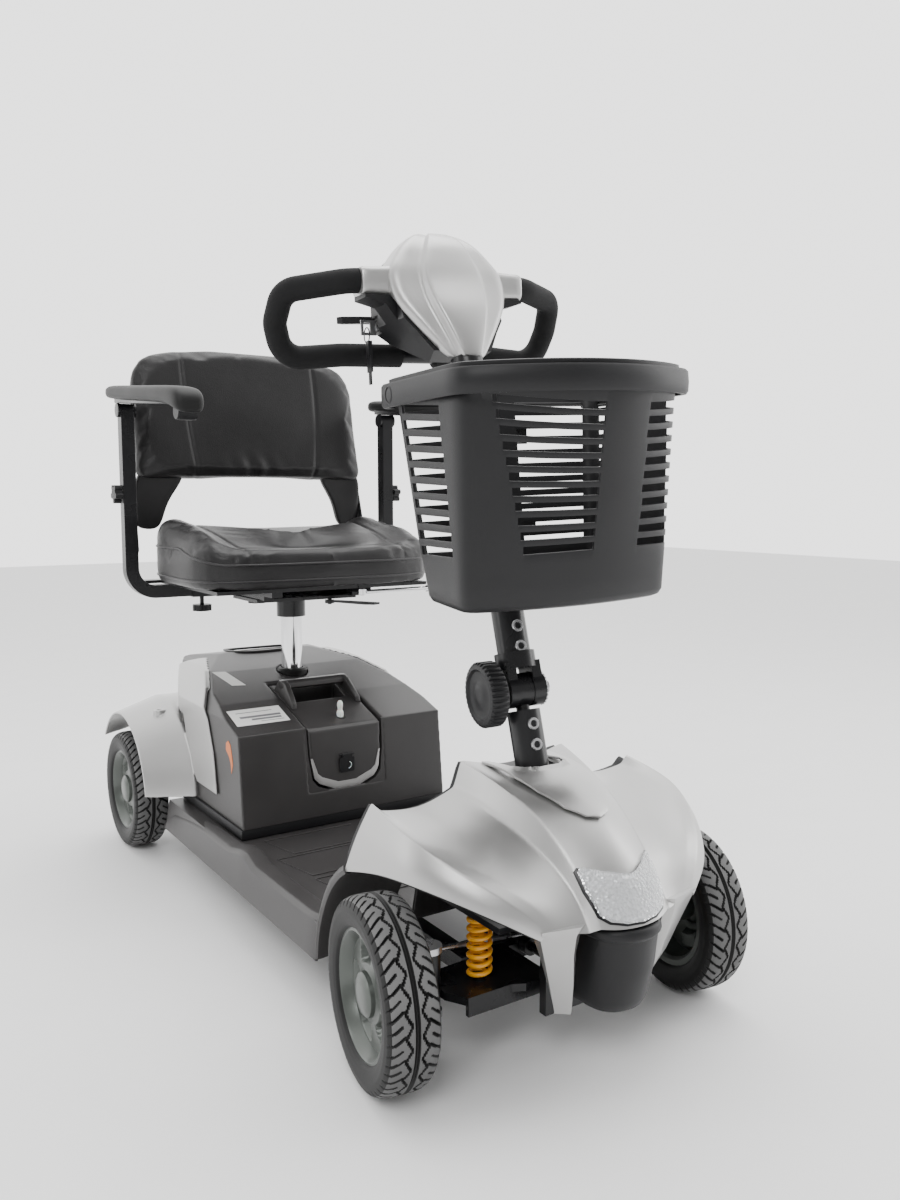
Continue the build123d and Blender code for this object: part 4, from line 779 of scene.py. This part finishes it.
slot_pitch, slot_open, first_slot, slot_rows = 15.6, 8.8, 636, 11
levels = [(572.5, 12), (572, 6), (574, 2), (579, 0), (600, 0), (622, 0)]
for k in range(slot_rows):
    levels += [(first_slot + slot_pitch * k, 0), (first_slot + slot_pitch * k + slot_open, 0)]
levels += [(816, 0), (838, 0), (845, 0.5), (847, -1.5), (846, -4), (838, -4.4)]
count = 320
perimeter = 905
rows = []
for z, inset in levels:
    loop = basket_loop(z, inset, count)
    row = []
    for i, (x, y) in enumerate(loop):
        place = i * perimeter / count if i < count / 2 else (i - count) * perimeter / count
        shift = sag(place, z) if 625 < z < 815 else 0
        row.append((x, y, z + shift))
    rows.append(row)
faces = grid_faces(len(levels), count, wrap_columns=True)


def in_slot(row, column):
    if row < 6 or row >= 6 + 2 * slot_rows or (row - 6) % 2:
        return False
    share = (row - 6) / (2 * slot_rows)
    place = column * perimeter / count if column < count / 2 else (column - count) * perimeter / count
    front_group = -84 - 30 * share < place < 10
    right_group = 82 - 8 * share < place < 158 + 4 * share
    left_group = -296 < place < -182 - 12 * share
    far_group = 214 < place < 298
    rear_group = 328 < abs(place) < 426
    return front_group or right_group or left_group or far_group or rear_group


kept = [f for index, f in enumerate(faces) if not in_slot(index // count, index % count)]
kept.append(tuple(reversed(range(count))))
basket = piece("shopping_basket", [p for row in rows for p in row], kept, black, 40)
thicken(basket, 3.2, -1 if basket.data.polygons[count * 8].normal.dot(Vector((0, -1, 0))) > 0 else 1)
round_edges(basket, 0.8, 2, 50)
bake(basket, 40)
on_body(steered(basket), "basket", ["basket"])

outer, inner = basket_loop(846, -12, count), basket_loop(846, -5.8, count)
rings = []
for i in list(range(-118, 119)):
    (ox, oy), (ix, iy) = outer[i % count], inner[i % count]
    rings.append([
        (ix, iy, 812), (ox * 0.7 + ix * 0.3, oy * 0.7 + iy * 0.3, 811.6), (ox, oy, 815), (ox * 1.004, oy * 1.001, 826),
        (ox, oy, 838), (ox * 0.7 + ix * 0.3, oy * 0.7 + iy * 0.3, 840.8), (ix, iy, 840.4),
    ])
band = skin("basket_band", rings, black, sharp=50)
on_body(steered(band), "basket_handle", ["basket_handle"])
for side, name in ((1, "left"), (-1, "right")):
    profile = [(12, 0), (12, 1.6), (9.5, 3.2), (8.8, 1.6), (3, 1.4)]
    plug = lathe(f"basket_plug_{name}", profile, (side * 158.5, -392, 826), (side, 0, 0), black)
    on_body(steered(plug), "basket_handle")

# ---- tiller head ----
head_rows = (
    (886, -309, 27, -282, -280), (897, -308, 37, -276, -273), (928, -299, 60, -262, -256), (955, -287, 79, -248, -243),
    (974, -274, 87, -240, -232), (996, -260, 89, -232, -190), (1014, -252, 86, -226, -178), (1030, -244, 74, -218, -177),
    (1046, -236, 62, -212, -176), (1060, -224, 46, -204, -176), (1069, -205, 30, -192, -172), (1071, -190, 18, -184, -170),
)
rings = []
for z, tip, wide, edge, back in head_rows:
    half = []
    for share, depth, lift in (
        (0, 0, 0), (0.28, 0.03, 0), (0.46, 0.10, 0), (0.53, 0.50, -2), (0.74, 0.60, -1), (0.92, 0.66, 0), (1, 1, 0),
    ):
        half.append((wide * share, tip + (edge - tip) * depth, z + lift))
    half.append((wide * 1.0, (edge + back) / 2, z))
    half.append((wide * 0.99, back, z))
    rings.append([(-x, y, level) for x, y, level in reversed(half[1:])] + half)
count_head = len(rings[0])
shield = skin("head_shield", rings, silver, closed=False, caps=False, sharp=60)
middle = count_head // 2
crease(shield, count_head, {2: 0.8, 3: 0.6, 6: 0.7})
thicken(shield, 3, -1 if shield.data.polygons[middle].normal.y < 0 else 1)
subdivide(shield, 2)
on_body(steered(bake(shield, 60)), "tiller", ["head_upper"])
for side, name in ((1, "left"), (-1, "right")):
    rings = []
    for x, grow in ((62, 1.12), (74, 1.05), (92, 0.98), (112, 0.93), (121, 0.92), (124, 0.86)):
        ring = []
        for step in range(24):
            forth, up = squared(step, 24, 0.5, 0.5)
            ring.append((side * x, -203 + 25 * grow * forth, 996 + 21.5 * grow * up))
        rings.append(ring)
    wing = skin(f"head_wing_{name}", rings, silver, sharp=50)
    on_body(steered(wing), "tiller")

# ---- seat ----
def softened(obj, voxel=5.0, pressure=4.0, cap=6.0, hold=None):
    """Blows a cushion up a little as cloth, holding what rests on its board, and limits how far it swells."""
    modifier(obj, "REMESH", mode="VOXEL", voxel_size=voxel / 1000)
    bake(obj, 60)
    before = np.array([v.co for v in obj.data.vertices])
    cloth = obj.modifiers.new("Cloth", "CLOTH")
    cloth.settings.use_pressure = True
    cloth.settings.uniform_pressure_force = pressure
    cloth.settings.effector_weights.gravity = 0
    cloth.settings.tension_stiffness = 22
    cloth.settings.bending_stiffness = 0.4
    if hold:
        group = obj.vertex_groups.new(name="held")
        group.add([v.index for v in obj.data.vertices if hold(v.co * 1000)], 1.0, "REPLACE")
        cloth.settings.vertex_group_mass = "held"
    for step in range(1, 15):
        scene.frame_set(step)
    depsgraph = bpy.context.evaluated_depsgraph_get()
    moved = bpy.data.meshes.new_from_object(obj.evaluated_get(depsgraph))
    after = np.array([v.co for v in moved.vertices])
    obj.modifiers.clear()
    scene.frame_set(1)
    shift = after - before
    far = np.linalg.norm(shift, axis=1, keepdims=True) + 1e-9
    shift *= np.minimum(1, cap / 1000 / far)
    for vert, move in zip(obj.data.vertices, shift):
        vert.co += Vector(move)
    return obj


def pushed(obj, amount):
    """Moves each vertex along its normal by the millimetres that amount(point in mm) gives."""
    normals = [v.normal.copy() for v in obj.data.vertices]
    shifts = [amount(v.co * 1000, n) for v, n in zip(obj.data.vertices, normals)]
    for vert, normal, shift in zip(obj.data.vertices, normals, shifts):
        vert.co += normal * shift / 1000
    return obj


def groove(distance, width):
    return float(np.exp(-((distance / width) ** 2)))


def cushion_ring(z, grow, y_low, y_high, wide):
    ring = []
    for step in range(72):
        across, along = squared(step, 72, 0.36, 0.42)
        x = wide * across
        y = (y_low + y_high) / 2 + (y_high - y_low) / 2 * along
        bow = 16 * (1 - (x / wide) ** 2) * (y < 200)
        dip = float(np.interp(y, (130, 180, 260, 330, 404, 450), (30, 20, 7, -1, -9, -2))) * max(0, z - 545) / 85
        ring.append((x * grow, y - bow if grow > 0.9 else 290 + (y - 290) * grow, z - dip))
    return ring


rings = [cushion_ring(z, grow, 142, 456, 233) for z, grow in (
    (537.5, 0.93), (538, 0.965), (545, 0.99), (560, 1.0), (590, 1.0), (607, 0.992), (619, 0.97), (626, 0.93),
)] + [cushion_ring(z, grow, 142, 456, 233) for z, grow in ((629, 0.84), (630, 0.66), (629, 0.4), (628, 0.12))]
seat = skin("seat_cushion_form", rings, vinyl, sharp=60)
softened(seat, 6.0, 3.0, 4.0, hold=lambda p: p.z < 545)


def seat_shape(p, normal):
    bolster = 15 * groove(abs(p.x) - 203, 26) * max(0, normal.z) * float(np.interp(p.y, (150, 240, 430), (0.3, 1.0, 1.1)))
    hollow = -7 * max(0, normal.z) * groove(p.x, 110) * groove(p.y - 300, 110)
    seam = -2.6 * groove(abs(abs(p.x) - (150 + 0.06 * (p.y - 130))), 3.2) * max(0, normal.z)
    seam -= 2.2 * groove(p.y - 196 + 0.0009 * p.x * p.x, 3.4) * max(0, normal.z) * (abs(p.x) < 160)
    return bolster + hollow + seam


modifier(seat, "SUBSURF", levels=1, render_levels=1)
bake(seat, 60)
pushed(seat, seat_shape)
modifier(seat, "SMOOTH", factor=0.4, iterations=2)
bake(seat, 60)
on_body(seat, "seat", ["seat_cushion"])
seat_tree = surface_of(seat)


def hug(points, tree, centre, lift):
    """Points cast inwards on to a surface from outside."""
    found = []
    for point in points:
        start = Vector(point) / 1000
        towards = (Vector(centre) / 1000 - start).normalized()
        hit = tree.ray_cast(start, towards)[0]
        found.append(((hit if hit else start) - towards * lift / 1000) * 1000)
    return found


for name, z, dip in (("upper", 604, 24), ("lower", 552, 0)):
    around = [
        (300 * cos(a), 290 + 260 * sin(a), z - dip * float(np.clip((-sin(a) - 0.15) / 0.5, 0, 1)))
        for a in np.linspace(0, 2 * pi, 97)[:-1]
    ]
    line = [hug([p], seat_tree, (0, 290, p[2]), 0.6)[0] for p in around]
    bead = wire(f"seat_piping_{name}", line, 2.2, piping, closed=True)
    on_body(bead, "seat")

rings = []
for share in (0, 0.015, 0.05, 0.12, 0.25, 0.4, 0.55, 0.7, 0.8, 0.88, 0.94, 0.975, 0.993, 1.0):
    z = 727 + 262 * share
    middle_y = 480 + 48 * share
    wide = 241 * (1 - 0.30 * max(0, (share - 0.60) / 0.40) ** 3.0)
    thick = 24 * (1 - 0.25 * share)
    if share < 0.04:
        wide, thick = wide * (0.965 + share * 0.7), thick * (0.72 + 6 * share)
    if share > 0.93:
        wide, thick = wide * (1 - 0.55 * ((share - 0.93) / 0.07) ** 2.4), thick * (1 - 0.55 * ((share - 0.93) / 0.07) ** 2)
    ring = []
    for step in range(72):
        across, forth = squared(step, 72, 0.28, 0.55)
        x = wide * across
        ring.append((x, middle_y + thick * forth, z - 10 * (abs(x) / 241) ** 4 * (share > 0.9)))
    rings.append(ring)
back = skin("backrest_cushion_form", rings, vinyl, sharp=60)
softened(back, 6.0, 3.5, 6.0)


def back_shape(p, normal):
    facing = max(0, -normal.y)
    seam = -2.6 * groove(abs(p.x) - (124 + 0.058 * (p.z - 731) + 6 * sin((p.z - 731) / 82)), 3.2) * facing
    fold = 2.0 * sin((p.x + 40) * 0.16 + (p.z - 740) * 0.05) * groove(p.z - 752, 20) * groove(p.x + 10, 46) * facing
    crown = 5 * facing * groove(p.x, 160) * groove(p.z - 850, 90)
    return seam + fold + crown


modifier(back, "SUBSURF", levels=1, render_levels=1)
bake(back, 60)
pushed(back, back_shape)
modifier(back, "SMOOTH", factor=0.35, iterations=1)
bake(back, 60)
on_body(back, "backrest", ["backrest_cushion"])

for side, name in ((1, "left"), (-1, "right")):
    shape = [(141, 744), (180, 748), (238, 748), (240, 700), (239, 650), (236, 634), (200, 630), (189, 644), (183, 668),
             (173, 692), (157, 714)]
    rings = []
    for depth, grow in ((-7, 0.94), (-5, 1.0), (0, 1.02), (5, 1.0), (7, 0.94)):
        rings.append([
            (side * (200 + (x - 200) * grow), 492 - (z - 640) * 0.10 + depth, 695 + (z - 695) * grow) for x, z in shape
        ])
    ear = skin(f"backrest_skirt_{name}", rings, vinyl, sharp=60)
    subdivide(ear, 2)
    bake(ear, 60)
    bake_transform(ear)

# ---- armrests ----
for side, name in ((1, "left"), (-1, "right")):
    rings = []
    low_pad, high_pad = (v * 1000 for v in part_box(f"armrest_pad_{name}"))
    middle_x = (low_pad.x + high_pad.x) / 2
    for y, z, wide, tall in (
        (463, 883, 14, 6), (461, 884, 22, 10), (450, 885, 25, 12), (400, 880, 26, 13), (300, 871, 26, 13),
        (200, 862, 26, 13.5), (130, 855, 26, 14.5), (100, 850, 26, 16), (80, 845, 25.5, 18), (66, 840, 24, 17),
        (58, 835, 20, 13), (56, 832, 12, 7),
    ):
        ring = []
        for step in range(32):
            across, up = squared(step, 32, 0.5, 0.7)
            ring.append((middle_x + wide * across, y, z + tall * up))
        rings.append(ring)
    pad = skin(f"armrest_pad_form_{name}", rings, rubber, sharp=60)
    subdivide(pad, 1)
    on_body(bake(pad, 60), f"armrest_{name}", [f"armrest_pad_{name}"])
    tube_y = (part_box(f"armrest_frame_{name}")[0].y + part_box(f"armrest_frame_{name}")[1].y) * 500
    bar = [(tube_y + 20, 866), (tube_y + 20, 876), (80, 845), (78, 836)]
    rings = [[(side * 265 + dx, y, z) for y, z in bar] for dx in (-15, 15)]
    beam = skin(f"armrest_beam_{name}", rings, steel_black)
    round_edges(beam, 1.5, 2)
    on_body(bake(beam), f"armrest_{name}")
    for cheek in (-1, 1):
        place = (side * 265 + cheek * 14.6, tube_y, 852)
        face = "inner" if cheek * side < 0 else "outer"
        profile = [(13, -2), (13, 2), (8, 2.6), (6, 2.6)]
        plate = lathe(f"armrest_cheek_{name}_{face}", profile, place, (cheek, 0, 0), steel_black, 32)
        on_body(plate, f"armrest_{name}")
    profile = [(13, -16), (14, -10), (14, 10), (13, 16)]
    hub = lathe(f"armrest_stop_{name}", profile, (side * 265, 106, 828), (1, 0, 0), black, 32)
    on_body(hub, f"armrest_{name}")
    profile = [(10, -0.6), (10, 0.8), (4, 1.2)]
    cap_end = lathe(f"tube_plug_{name}", profile, (-side * 52, tube_y, 516), (-side, 0, 0), black, 32)
    on_body(cap_end, f"armrest_tube_{name}")

# ---- stem, hinge and hand knob ----
for body, heights in (("column", (372, 398)), ("tiller", (496, 522))):
    for height in heights:
        on_line = crown_at + rest_axis * ((height - crown_at.z) / rest_axis.z)
        out = Vector((0, -1, 0.276)).normalized()
        socket = lathe(
            f"stem_screw_{body}_{heights.index(height)}",
            [(8, -2), (8, 0.9), (7.2, 2), (4.6, 2), (4.2, 0.2), (0.5, 0)], on_line + out * 21.4, out, zinc, 28,
        )
        on_body(steered(socket), body)
straight_hinge = crown_at + rest_axis * ((442 - crown_at.z) / rest_axis.z)
profile = [(22.1 * scale, x, -1.6 * scale) for x, scale in ((28.4, 0.99), (28.8, 1), (30, 1), (30.6, 0.96))]
teeth = notched("hinge_toothed_face", profile, straight_hinge, ((0, 1, 0), (0, 0, 1), (1, 0, 0)), alloy, 24, sharp=30)
on_body(steered(teeth), "tiller")
profile = [
    (26, 36, 0), (40, 37, 0), (43, 39, 2.4), (43, 58, 2.4), (40, 61, 1), (34, 62, 0), (31, 59, 0), (18, 58, 0),
    (14, 60.5, 0), (5, 61, 0),
]
knob = notched("tilt_hand_knob", profile, straight_hinge, ((0, 1, 0), (0, 0, 1), (-1, 0, 0)), black, 36, 5)
on_body(steered(knob), "tilt_clamp", ["tilt_knob"])
profile = [(5.9, -35), (5.9, 35), (9.5, 35), (9.5, 40), (6, 41)]
bolt = lathe("tilt_bolt", profile, straight_hinge, (1, 0, 0), zinc, 24)
on_body(steered(bolt), "tilt_clamp")

# the dial's ribs, its mark and its scale
turn = joint("speed_dial_turn")
dial_at, dial_out = Vector(turn["pos_m"]) * 1000, Vector(turn["axis"])
across, up, along = axes_to(dial_out)
profile = [(14, 1, 0), (14.4, 2, 0.9), (14, 10, 0.9), (12.6, 12.4, 0.3), (11, 13, 0), (2, 13, 0)]
dial = notched("speed_dial_cap", profile, dial_at, (across, up, along), black, 24)
on_body(dial, "speed_dial", ["speed_dial"])
pointer = block("speed_dial_mark", (-0.8, 3, 13), (0.8, 12, 13.8), boot_white, 0.3)
bake(pointer)
pointer.data.transform(pointed(dial_at / 1000, (0, 0, 1), dial_out))
on_body(pointer, "speed_dial")
for step in range(9):
    angle = radians(-120 + 30 * step)
    radial = up * cos(angle) + across * sin(angle)
    line = [dial_at + along * 0.9 + radial * reach for reach in (16.5, 19 + (step == 8))]
    tick = wire(f"dial_tick_{step}", line, 0.45, boot_white, smooth=False)
    on_body(tick, "tiller")

# ---- deck mouldings: raised lines, side sills and the arch behind each front wheel ----
for index, (y_near, y_far, wide) in enumerate(((-20, 60, 150), (-120, -30, 165), (-232, -135, 150))):
    for side, name in ((1, "left"), (-1, "right")):
        line = [(side * x, y, 128.7) for x, y in ((8, y_near), (wide, y_near), (wide + 18, y_far), (8, y_far))]
        bead = wire(f"deck_line_{index}_{name}", line, 0.9, body_black, smooth=False)
        on_body(bead, "chassis")
for side, name in ((1, "left"), (-1, "right")):
    rings = []
    for y, height, inner in (
        (372, 100, 212), (330, 118, 208), (250, 126, 204), (160, 133, 200), (60, 133, 198), (20, 142, 196), (-10, 143, 196),
        (-40, 133, 196), (-150, 133, 196), (-240, 134, 196), (-276, 140, 200),
    ):
        rings.append([(side * x, y, z) for x, z in (
            (inner, 127), (inner + 3, height - 2), (inner + 8, height), (225, height - 3), (231, height - 9), (238, 76),
            (233, 74), (226, 122),
        )])
    sill = skin(f"deck_sill_{name}", rings, body_black, sharp=60)
    round_edges(sill, 2.5, 3, 25)
    on_body(bake(sill, 60), "chassis")
    rings = []
    for angle in np.linspace(radians(48), radians(-10), 16):
        reach = float(np.interp(angle, (radians(-10), radians(15), radians(48)), (190, 172, 154)))
        ring = []
        for x, more in ((232, -3), (237, -2), (238.5, 3), (236, 9), (212, 7), (120, 7), (120, 3), (212, 2)):
            ring.append((side * x, -468 + (reach + more) * cos(angle), 114 + (reach + more) * sin(angle)))
        rings.append(ring)
    arch = skin(f"front_arch_{name}", rings, body_black, sharp=40)
    on_body(arch, "chassis")

# ---- suspension details ----
for side, name in ((1, "left"), (-1, "right")):
    pin = Vector(joint(f"tie_rod_{name}")["pos_m"]) * 1000
    gaiter = lathe(
        f"ball_joint_boot_{name}", [(6, -9), (11, -8), (13, -3), (11.5, 0), (13, 3), (10, 7), (6, 8)],
        (pin.x, pin.y, 148), (0, 0, 1), rubber, 28,
    )
    on_body(gaiter, f"knuckle_{name}")
    profile = [(6.5, 0), (7, 1), (7, 6), (6, 7), (2, 7.4)]
    nut = lathe(f"ball_joint_nut_{name}", profile, (pin.x, pin.y, 100), (0, 0, 1), zinc, 6)
    on_body(nut, f"knuckle_{name}")

# ---- every CAD part that still shows gets its finish and softened edges ----
finishes = {
    "frame_steel": steel_black, "black_plastic": black, "silver_paint": silver, "clear_lens": lens_clear, "chrome": chrome,
    "aluminium": alloy, "rim_paint": rim_grey, "tyre": rubber, "foam": foam, "vinyl": vinyl, "spring_orange": orange,
    "battery": battery_grey, "button_white": boot_white, "orange_plastic": sticker_orange, "bright_steel": zinc,
}
for part in frame["record"]["subparts"]:
    node = nodes[part["node"]]
    node.data.materials.clear()
    node.data.materials.append(finishes[part["material_slot"]])
    if node.hide_render:
        continue
    modifier(node, "WELD", merge_threshold=0.00001)
    if part["node"] not in ("suspension_springs", "grips", "handlebar"):
        round_edges(node, 0.8, 2, 35)
    modifier(node, "WEIGHTED_NORMAL", keep_sharp=True)
nodes["floor_pan"].data.materials[0] = body_black

# ---- studio ----
floor_mesh = bpy.data.meshes.new("studio_floor")
floor_mesh.from_pydata([(-9, -9, 0), (9, -9, 0), (9, 9, 0), (-9, 9, 0)], [], [(0, 1, 2, 3)])
floor = bpy.data.objects.new("studio_floor", floor_mesh)
scene.collection.objects.link(floor)
floor.data.materials.append(finish_of("studio_white", (0.86, 0.86, 0.86), 0.75, 0, 20, 0.0, 0.01, 0.02))


def lamp(name, place, aim, size, power):
    data = bpy.data.lights.new(name, "AREA")
    data.shape = "RECTANGLE"
    data.size, data.size_y = size
    data.energy = power
    obj = bpy.data.objects.new(name, data)
    scene.collection.objects.link(obj)
    obj.location = place
    obj.rotation_euler = (Vector(aim) - Vector(place)).to_track_quat("-Z", "Y").to_euler()
    return obj


lamp("key_light", (-2.2, -2.4, 3.0), (0, 0, 0.4), (1.5, 1.5), 60)
lamp("top_light", (0.4, 0.2, 3.4), (0, 0, 0.3), (2.2, 2.2), 46)
lamp("right_strip", (2.6, -1.2, 1.4), (0, -0.1, 0.4), (0.7, 2.2), 20)
lamp("left_strip", (-2.8, 0.8, 1.3), (0, 0.1, 0.4), (0.7, 2.2), 16)
world = bpy.data.worlds.new("studio_world")
world.use_nodes = True
sky = world.node_tree
background = sky.nodes["Background"]
background.inputs["Color"].default_value = (1.0, 0.997, 0.993, 1)
direction = sky.nodes.new("ShaderNodeTexCoord")
facing = sky.nodes.new("ShaderNodeVectorMath")
facing.operation = "DOT_PRODUCT"
facing.inputs[1].default_value = (0.50, 0.80, 0.32)
wash = sky.nodes.new("ShaderNodeMapRange")
wash.interpolation_type = "SMOOTHSTEP"
wash.inputs["From Min"].default_value = -0.30
wash.inputs["From Max"].default_value = 0.45
wash.inputs["To Min"].default_value = 0.60
wash.inputs["To Max"].default_value = 2.5
sky.links.new(direction.outputs["Generated"], facing.inputs[0])
sky.links.new(facing.outputs["Value"], wash.inputs["Value"])
sky.links.new(wash.outputs["Result"], background.inputs["Strength"])
scene.world = world

camera_data = bpy.data.cameras.new("camera")
camera_data.lens = 30.06
camera_data.sensor_width = 36
camera = bpy.data.objects.new("camera", camera_data)
scene.collection.objects.link(camera)
camera.location = (-0.792, -1.449, 0.698)
camera.rotation_euler = (radians(84), 0, radians(-33.3))
scene.camera = camera
